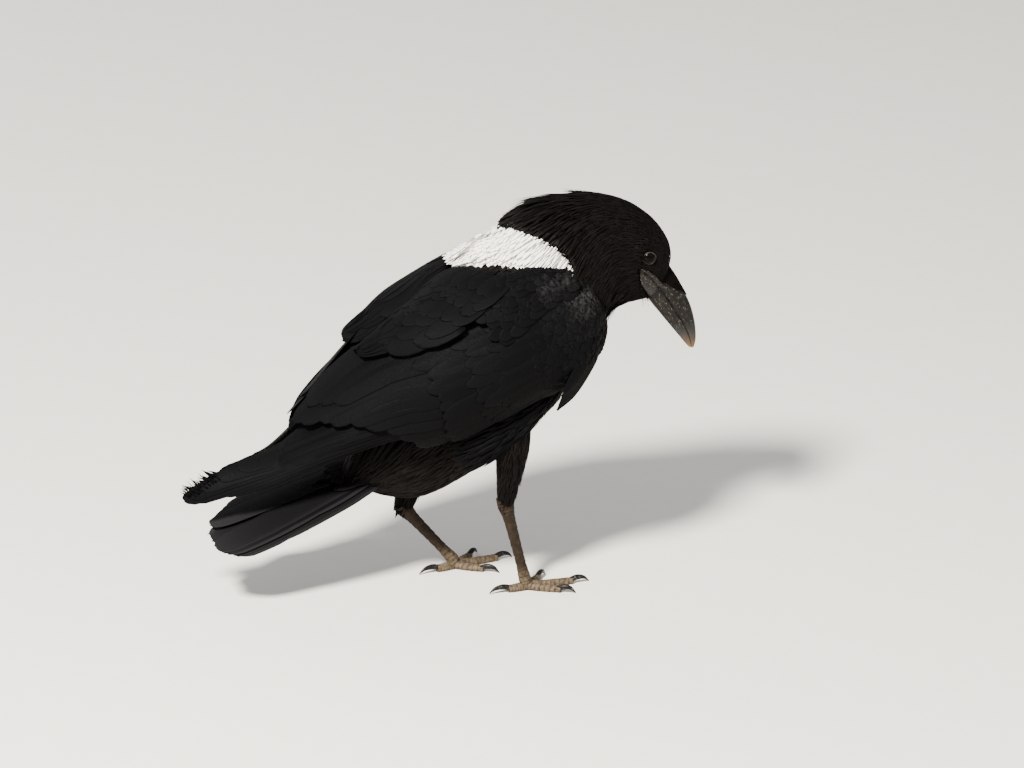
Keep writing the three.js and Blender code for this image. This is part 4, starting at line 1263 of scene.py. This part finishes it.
def wing_flesh(side):
    """The arm inside a folded wing, thickest at its middle and towards the bend."""
    p, q = np.meshgrid(np.linspace(0.02, 0.4, 20), np.linspace(0.02, 0.97, 16), indexing="ij")
    here, out, _, _ = Sheet(WING_ROWS, side).frame(p, q)
    deep = 4 + 26 * (0.4 - p) * (0.4 + 2.4 * q * (1 - q))
    inner = here - out * deep[..., None]
    return stack(np.concatenate([here - out * 2.4, inner[:, ::-1]], axis=1))


def make_skin():
    """One closed skin over head, neck, trunk, wings' arms and thighs."""
    shells = [tube(Body(-BODY_COAT_DEPTH), 0.005, 0.99, 70, 48)]
    shells += [tube(Limb(leg["thigh"], -THIGH_COAT_DEPTH), 0.0, 1.0, 16, 20) for leg in LEGS.values()]
    shells += [wing_flesh(side) for _, side in SIDES]
    skin = mesh_object("skin", *join(shells), skin_material(), "black_feather")
    outward = bmesh.new()
    outward.from_mesh(skin.data)
    bmesh.ops.recalc_face_normals(outward, faces=outward.faces)
    outward.to_mesh(skin.data)
    outward.free()
    remesh = skin.modifiers.new("one_skin", "REMESH")
    remesh.mode, remesh.voxel_size, remesh.use_smooth_shade = "VOXEL", SKIN_VOXEL * MM, True
    soften = skin.modifiers.new("soften", "SMOOTH")
    soften.factor, soften.iterations = 0.5, 6
    depsgraph = bpy.context.evaluated_depsgraph_get()
    skin.data = bpy.data.meshes.new_from_object(skin.evaluated_get(depsgraph))
    skin.modifiers.clear()
    mark_skin(skin.data)
    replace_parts(skin, "head", "neck", "breast_and_collar", "trunk", "thigh_right", "thigh_left",
                "wing_right", "wing_left")


def mark_skin(mesh):
    """Marks the skin white where the nearest point of the body's surface is white."""
    co = np.empty(len(mesh.vertices) * 3, np.float32)
    mesh.vertices.foreach_get("co", co)
    here = co.reshape(-1, 3) / MM - SHIFT
    p, q = (axis.ravel() for axis in np.meshgrid(np.linspace(0, 1, 120), turns(72)))
    near, mark = body.at(p, q), body_white(p, q)
    white = np.zeros(len(here))
    for start in range(0, len(here), 2000):
        gap = ((here[start:start + 2000, None] - near[None]) ** 2).sum(axis=-1)
        white[start:start + 2000] = mark[gap.argmin(axis=1)] * (gap.min(axis=1) < 7 ** 2)
    layer = mesh.attributes.new("white", "FLOAT", "POINT")
    layer.data.foreach_set("value", white.astype(np.float32))


# ---------- bill ----------

def bill_half(name, upper, reach):
    """One half of the bill, up to a share of its length, with a ridge along it and a sharp edge
    at the mouth. upper is 1 or -1."""
    rings, arcs = 90, 28
    along, culmen, keel, half, cut = smooth(BILL_PROFILE, np.linspace(0, reach, rings)).T
    edge = culmen if upper > 0 else keel
    flat = cut + upper * MOUTH_GAP / 2
    angle = np.linspace(0, math.pi, arcs + 1)[None]
    lip = 1 + 0.05 * np.exp(-(np.minimum(angle, math.pi - angle) / 0.18) ** 2)
    bottom = np.broadcast_to(flat[:, None], (rings, arcs + 1))
    up = bottom + (edge - flat)[:, None] * np.sin(angle) ** BILL_ROUND
    side = np.cos(angle) * half[:, None] * lip / 1.05
    outer = bill_point(np.broadcast_to(along[:, None], up.shape), side, up)
    inner_side = side[:, 1:-1][:, ::-1] * 0.98
    inner_up = bottom[:, 1:-1] + upper * 0.25
    inner = bill_point(np.broadcast_to(along[:, None], inner_up.shape), inner_side, inner_up)
    points, faces = stack(np.concatenate([outer, inner], axis=1))
    low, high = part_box("bill_upper")
    material = horn_material(f"horn_{name}", low[2], low[2] + 0.38 * (high[2] - low[2]))
    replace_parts(mesh_object(f"{name}_horn", points, faces, material, "horn"), name)


def on_face(x, z):
    """The place on the left of the face that has this x and z, and the way out of it."""
    p, q = (a.ravel() for a in np.meshgrid(np.linspace(0.6, 1.0, 120), np.linspace(-1.4, 1.4, 160)))
    target = np.stack([x.ravel(), z.ravel()], -1)
    nearest = ((target[:, None] - body.at(p, q)[:, ::2]) ** 2).sum(axis=-1).argmin(axis=1)
    p, q = p[nearest], q[nearest]
    for _ in range(4):
        here, _, along, across = body.frame(p, q)
        miss = target - here[:, ::2]
        size = along[:, 0] * across[:, 2] - along[:, 2] * across[:, 0]
        p = p + np.clip((miss[:, 0] * across[:, 2] - miss[:, 1] * across[:, 0]) / size, -0.05, 0.05)
        q = q + np.clip((along[:, 0] * miss[:, 1] - along[:, 2] * miss[:, 0]) / size, -0.3, 0.3)
        p, q = np.clip(p, 0.5, 1.02), np.clip(q, -1.5, 1.5)
    here, out, _, _ = body.frame(p, q)
    return here.reshape(x.shape + (3,)), out.reshape(x.shape + (3,))


def gapes():
    """The bare corners of the mouth, on both sides: horn with the mouth line sunk in it."""
    rows, cols = 56, 40
    along = np.linspace(GAPE[0][0], 5.5, rows)[:, None] * np.ones((1, cols))
    line, above, below = table_at(GAPE, along)
    s = np.linspace(-1, 1, cols)[None] * np.ones((rows, 1))
    off = np.where(s < 0, s * below, s * above)
    up = line + off
    x, _, z = np.moveaxis(bill_point(along, 0 * up, up), -1, 0)
    face, out = on_face(x, z)

    # The surface passes smoothly from the face on to the bill.
    _, culmen, keel, half, cut = bill_section(along)
    share = np.clip((up - cut) / np.where(up > cut, culmen - cut, keel - cut), 0, 1)
    on_bill = half * np.sqrt(1 - share ** (2 / BILL_ROUND))
    off_face = on_bill - face[..., 1]
    side = 0.5 * (face[..., 1] + on_bill + np.sqrt(off_face ** 2 + 0.1))
    surface = np.stack([x, side, z], -1)
    weight = np.clip(off_face / 2 + 0.5, 0, 1)
    out = unit(out * (1 - weight[..., None]) + np.array([0.2, 1, 0]) * weight[..., None])

    swell = 0.45 * np.sqrt(np.maximum(1 - s ** 2, 0)) * (1 - weight)
    groove = 1.1 * np.exp(-(off / 0.55) ** 2) * np.clip((along + 24) / 4, 0, 1)
    rough = 0.12 * np.sin(along * 2.1 + off * 1.3) * np.sin(off * 2.7 - along * 0.6)
    under_bill = 1.3 * np.clip((off_face + 0.2) / 1.5, 0, 1) * np.clip((along + 6) / 3, 0, 1)
    rise = -1.2 * np.abs(s) ** 6 + swell - groove + rough + 0.25 - under_bill
    outer = surface + out * rise[..., None]
    inner = surface - out * 2.2
    for name, hand in SIDES:
        grid = np.concatenate([outer, inner[:, ::-1]], axis=1) * np.array([1, hand, 1])
        points, faces = stack(grid if hand == LEFT else grid[:, ::-1])
        mesh_object(f"gape_{name}", points, faces, GAPE_MATERIAL, "horn")


def mouth_lining():
    """The dark flesh that closes the gap between the two halves of the bill."""
    along, _, _, half, cut = smooth(BILL_PROFILE, np.linspace(0, 0.9, 40)).T
    turn = turns(20)
    side = np.cos(turn) * (half * 0.9)[:, None]
    up = cut[:, None] + np.sin(turn) * 0.9
    points, faces = stack(bill_point(np.broadcast_to(along[:, None], up.shape), side, up))
    mesh_object("mouth_lining", points, faces, LID_MATERIAL, "leg_scale")


def bristles():
    """Stiff bristles that lie forward over the base of the bill, and some on the chin."""
    coat = Coat("coat_bristles", COAT_MATERIAL)
    shares = np.array((0, 0.3, 0.6, 0.85, 1))

    # Of each group: their number, the middle of the fan as a share of a half turn, how far they
    # spread, where the first are rooted, the longest, and how far they stand off.
    for count, middle, spread, first, longest, stand in (
            (2400, 0.5, 1.34, -11, 21, 0.5), (200, -0.5, 0.9, -8, 8, 1.6), (80, -0.5, 0.7, -8, 11, 6.0)):
        around = rng.uniform(-1, 1, count)
        start = first + rng.uniform(0, 12, count) * (1 - 0.3 * np.abs(around))
        length = longest * rng.uniform(0.65, 1, count) * (1 - 0.4 * np.abs(around) ** 1.5)
        along = start[:, None] + shares[None] * length[:, None]
        mark, culmen, keel, half, cut = bill_section(along)
        angle = math.pi * middle + around[:, None] * spread * (1 - 0.25 * shares[None])
        edge = np.where(np.sin(angle) > 0, culmen, keel)
        up = cut + (edge - cut) * np.abs(np.sin(angle)) ** BILL_ROUND
        out = np.stack([np.sin(angle) * BILL_SIN, np.cos(angle), np.sin(angle) * BILL_COS], -1)
        rise = 0.15 + rng.uniform(0.1, stand, count)[:, None] * (0.2 + 0.9 * shares[None] ** 1.5)
        spine = bill_point(along, np.cos(angle) * half, up) + out * rise[..., None]
        width = rng.uniform(0.5, 0.95, count)[:, None] * (1.1 - shares[None])
        coat.add(spine, out, width / 2 + 0.02, np.full_like(width, 0.07),
                 unwrap("bill", mark[:, 0], (around + 1) / 2), camber=0.0, shares=shares)
    coat.build()


# ---------- eyes ----------

def eyes():
    """Each eyeball, and the ring of its lids."""
    for name, side in SIDES:
        centre = eye_centre(side)
        lat, lon = np.meshgrid(np.linspace(0.02, math.pi - 0.02, 40), turns(64), indexing="ij")
        radius = EYE_DIAMETER / 2
        away = np.stack([np.sin(lat) * np.cos(lon), np.cos(lat), np.sin(lat) * np.sin(lon)], -1)
        ball = stack(centre + radius * away)
        eye = mesh_object(f"eyeball_{name}", *ball, eye_material(name, side), "eye")
        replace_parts(eye, f"eye_{name}")

        # The lids: a soft ring where the ball leaves the head, slightly pointed fore and aft.
        turn, roll = turns(72), turns(10)
        ring_x = LID_WIDTH / 2 * np.cos(turn) + 0.35 * np.cos(3 * turn)
        ring_z = LID_HEIGHT / 2 * np.sin(turn)
        depth = np.sqrt(np.maximum(radius ** 2 - ring_x ** 2 - ring_z ** 2, 0)) + 0.25
        loop = centre + np.stack([ring_x, side * depth, ring_z], -1)
        ahead = unit(np.roll(loop, -1, axis=0) - np.roll(loop, 1, axis=0))
        out = unit(loop - centre)
        across = np.cross(ahead, out)
        fold = 0.38 + 0.08 * np.sin(turn)[:, None, None]
        points = (loop[:, None] + out[:, None] * np.cos(roll)[None, :, None] * fold * 0.8
                  + across[:, None] * np.sin(roll)[None, :, None] * fold)
        i, j = (a.ravel() for a in np.meshgrid(range(72), range(10), indexing="ij"))
        next_i, next_j = (i + 1) % 72 * 10, (j + 1) % 10
        faces = np.stack([i * 10 + j, i * 10 + next_j, next_i + next_j, next_i + j], -1)
        mesh_object(f"eyelids_{name}", points.reshape(-1, 3), faces, LID_MATERIAL, "leg_scale")


# ---------- legs ----------

def scaled_tube(stations, rings, sides, scutes, depth):
    """A limb with raised scutes along its length; also says how deep in a crease each point is."""
    p, q = np.meshgrid(np.linspace(0, 1, rings), turns(sides), indexing="ij")
    here, out, _, _ = Limb(stations).frame(p, q)
    phase = (p * scutes + 0.12 * np.cos(q * 2)) % 1
    crease = np.exp(-((phase - 0.06) / 0.07) ** 2)
    scute = np.abs(np.sin(q * 3)) ** 0.3
    here = here + out * (depth * (phase - 0.5) * 0.8 - depth * crease * scute)[..., None]
    return stack(here), np.concatenate([crease.ravel(), [0, 0]])


def legs():
    """Each tarsus with its four toes as one scaled piece, and a claw on every toe."""
    for name, leg in LEGS.items():
        heel, foot = np.array(leg["heel"], float), np.array(leg["foot"], float)
        shank = [(heel + (foot - heel) * share, radius, flatness) for share, radius, flatness in SHANK]
        shells = [scaled_tube(shank, 150, 32, 17, 0.34)]
        for number, turn, length, radius, claw in TOES:
            turn = math.radians(leg["yaw"] + leg["side"] * turn)
            ahead = np.array([math.cos(turn), math.sin(turn), 0.0])

            def station(reach, height, size, flatness=1):
                return foot * [1, 1, 0] + ahead * reach + [0, 0, height], size, flatness

            toe = (station(0, TOE_HEIGHT + 2, radius + 0.5),
                   station(length * 0.25, TOE_HEIGHT + 0.6, radius),
                   station(length * 0.6, TOE_HEIGHT, radius), station(length, TOE_HEIGHT, radius * 0.85))
            shells.append(scaled_tube(toe, 90, 24, max(7, int(length / 3)), 0.3))
            nail = (station(length - 2.5, TOE_HEIGHT + 0.5, 1.9),
                    station(length + claw * 0.25, TOE_HEIGHT + 2, 1.7, 1.2),
                    station(length + claw * 0.65, TOE_HEIGHT + 1.3, 1.1, 1.2),
                    station(length + claw * 0.95, 0.7, 0.3))
            points, faces = tube(Limb(nail), 0, 1, 40, 20)
            points[:, 2] = np.maximum(points[:, 2], 0.05)
            horn = mesh_object(f"claw_horn_{name}_{number}", points, faces, CLAW_MATERIAL, "horn")
            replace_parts(horn, f"claw_{name}_{number}")
        points, faces = join([shell for shell, _ in shells])
        points[:, 2] = np.maximum(points[:, 2], 0.02)
        creases = np.concatenate([crease for _, crease in shells])
        piece = mesh_object(f"leg_scales_{name}", points, faces, LEG_MATERIAL, "leg_scale",
                            {"crease": creases})
        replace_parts(piece, f"tarsus_{name}", f"foot_{name}")


# ---------- studio, in metres and degrees ----------

CAMERA_AZIMUTH, CAMERA_ELEVATION, CAMERA_DISTANCE = -15, 19, 6.0
VIEW_WIDTH = 0.727
VIEW_MIDDLE = (44.0, 141.3)     # to the right of the bird's origin and above it, in millimetres
FLOOR_SIZE = 12
LIT_POINT = (0, 0, 0.14)


def camera():
    """A camera at the photograph's angle: behind the bird's right side and above it."""
    azimuth, elevation = math.radians(CAMERA_AZIMUTH), math.radians(CAMERA_ELEVATION)
    right = np.array([math.cos(azimuth), math.sin(azimuth), 0])
    toward = np.array([math.sin(azimuth) * math.cos(elevation), -math.cos(azimuth) * math.cos(elevation),
                       math.sin(elevation)])
    up = np.cross(toward, right)
    data = bpy.data.cameras.new("camera")
    data.sensor_width, data.lens = 36, 36 * CAMERA_DISTANCE / VIEW_WIDTH
    data.clip_end = 50
    view = add_object("camera", data)
    target = right * VIEW_MIDDLE[0] + up * VIEW_MIDDLE[1]
    place = (target + SHIFT) * MM + toward * CAMERA_DISTANCE
    view.matrix_world = Matrix.Translation(place) @ Matrix(np.stack([right, up, toward], 1)).to_4x4()
    bpy.context.scene.camera = view


def lamp(name, place, size, power, colour=(1, 1, 1)):
    """A round soft lamp that points at the bird's middle."""
    data = bpy.data.lights.new(name, "AREA")
    data.shape, data.size, data.energy, data.color = "DISK", size, power, colour
    light = add_object(name, data)
    direction = Vector(LIT_POINT) - Vector(place)
    light.rotation_euler = direction.to_track_quat("-Z", "Y").to_euler()
    light.location = place


def studio():
    """A plain pale floor, a pale sky and three soft lamps."""
    mesh = bpy.data.meshes.new("floor")
    corners = [(x * FLOOR_SIZE / 2, y * FLOOR_SIZE / 2, 0) for x, y in ((-1, -1), (1, -1), (1, 1), (-1, 1))]
    mesh.from_pydata(corners, [], [(0, 1, 2, 3)])
    n = Nodes("pale_floor")
    n.link(n.mix(n.noise(n.place, 60.0), srgb(226, 221, 212), srgb(232, 228, 220)), "Base Color")
    n.set(Roughness=0.85, Specular_IOR_Level=0.2)
    mesh.materials.append(n.material)
    add_object("floor", mesh)
    world = bpy.data.worlds.new("studio")
    world.use_nodes = True
    sky = world.node_tree.nodes["Background"]
    sky.inputs["Color"].default_value = (0.9, 0.93, 1.0, 1)
    sky.inputs["Strength"].default_value = 0.55
    bpy.context.scene.world = world
    lamp("key", (-1.2, -1.45, 2.0), 0.45, 330, (1.0, 0.96, 0.9))
    lamp("fill", (1.6, -1.8, 0.9), 2.6, 12)
    lamp("rear", (-0.6, 1.8, 1.4), 1.6, 18)


LID_MATERIAL = lid_material()
GAPE_MATERIAL = horn_material("gape_horn", -1.0, -0.5)
LEG_MATERIAL = leg_material()
CLAW_MATERIAL = horn_material("claw_horn", -1.0, -0.5)

camera()
studio()
make_skin()
body_coat()
collar_edge()
for part, hand in SIDES:
    wing_coverts(part, hand)
    wing_feathers(part, hand)
    frayed_barbs(part, hand)
    alula(part, hand)
    scapulars(part, hand)
    shoulder_coat(part, hand)
    flank_coat(part, hand)
    thigh_coat(part)
slipped_tertials()
tail_feathers()
tail_coverts()
bill_half("bill_upper", 1, 1.0)
bill_half("bill_lower", -1, 0.965)
gapes()
mouth_lining()
bristles()
eyes()
legs()
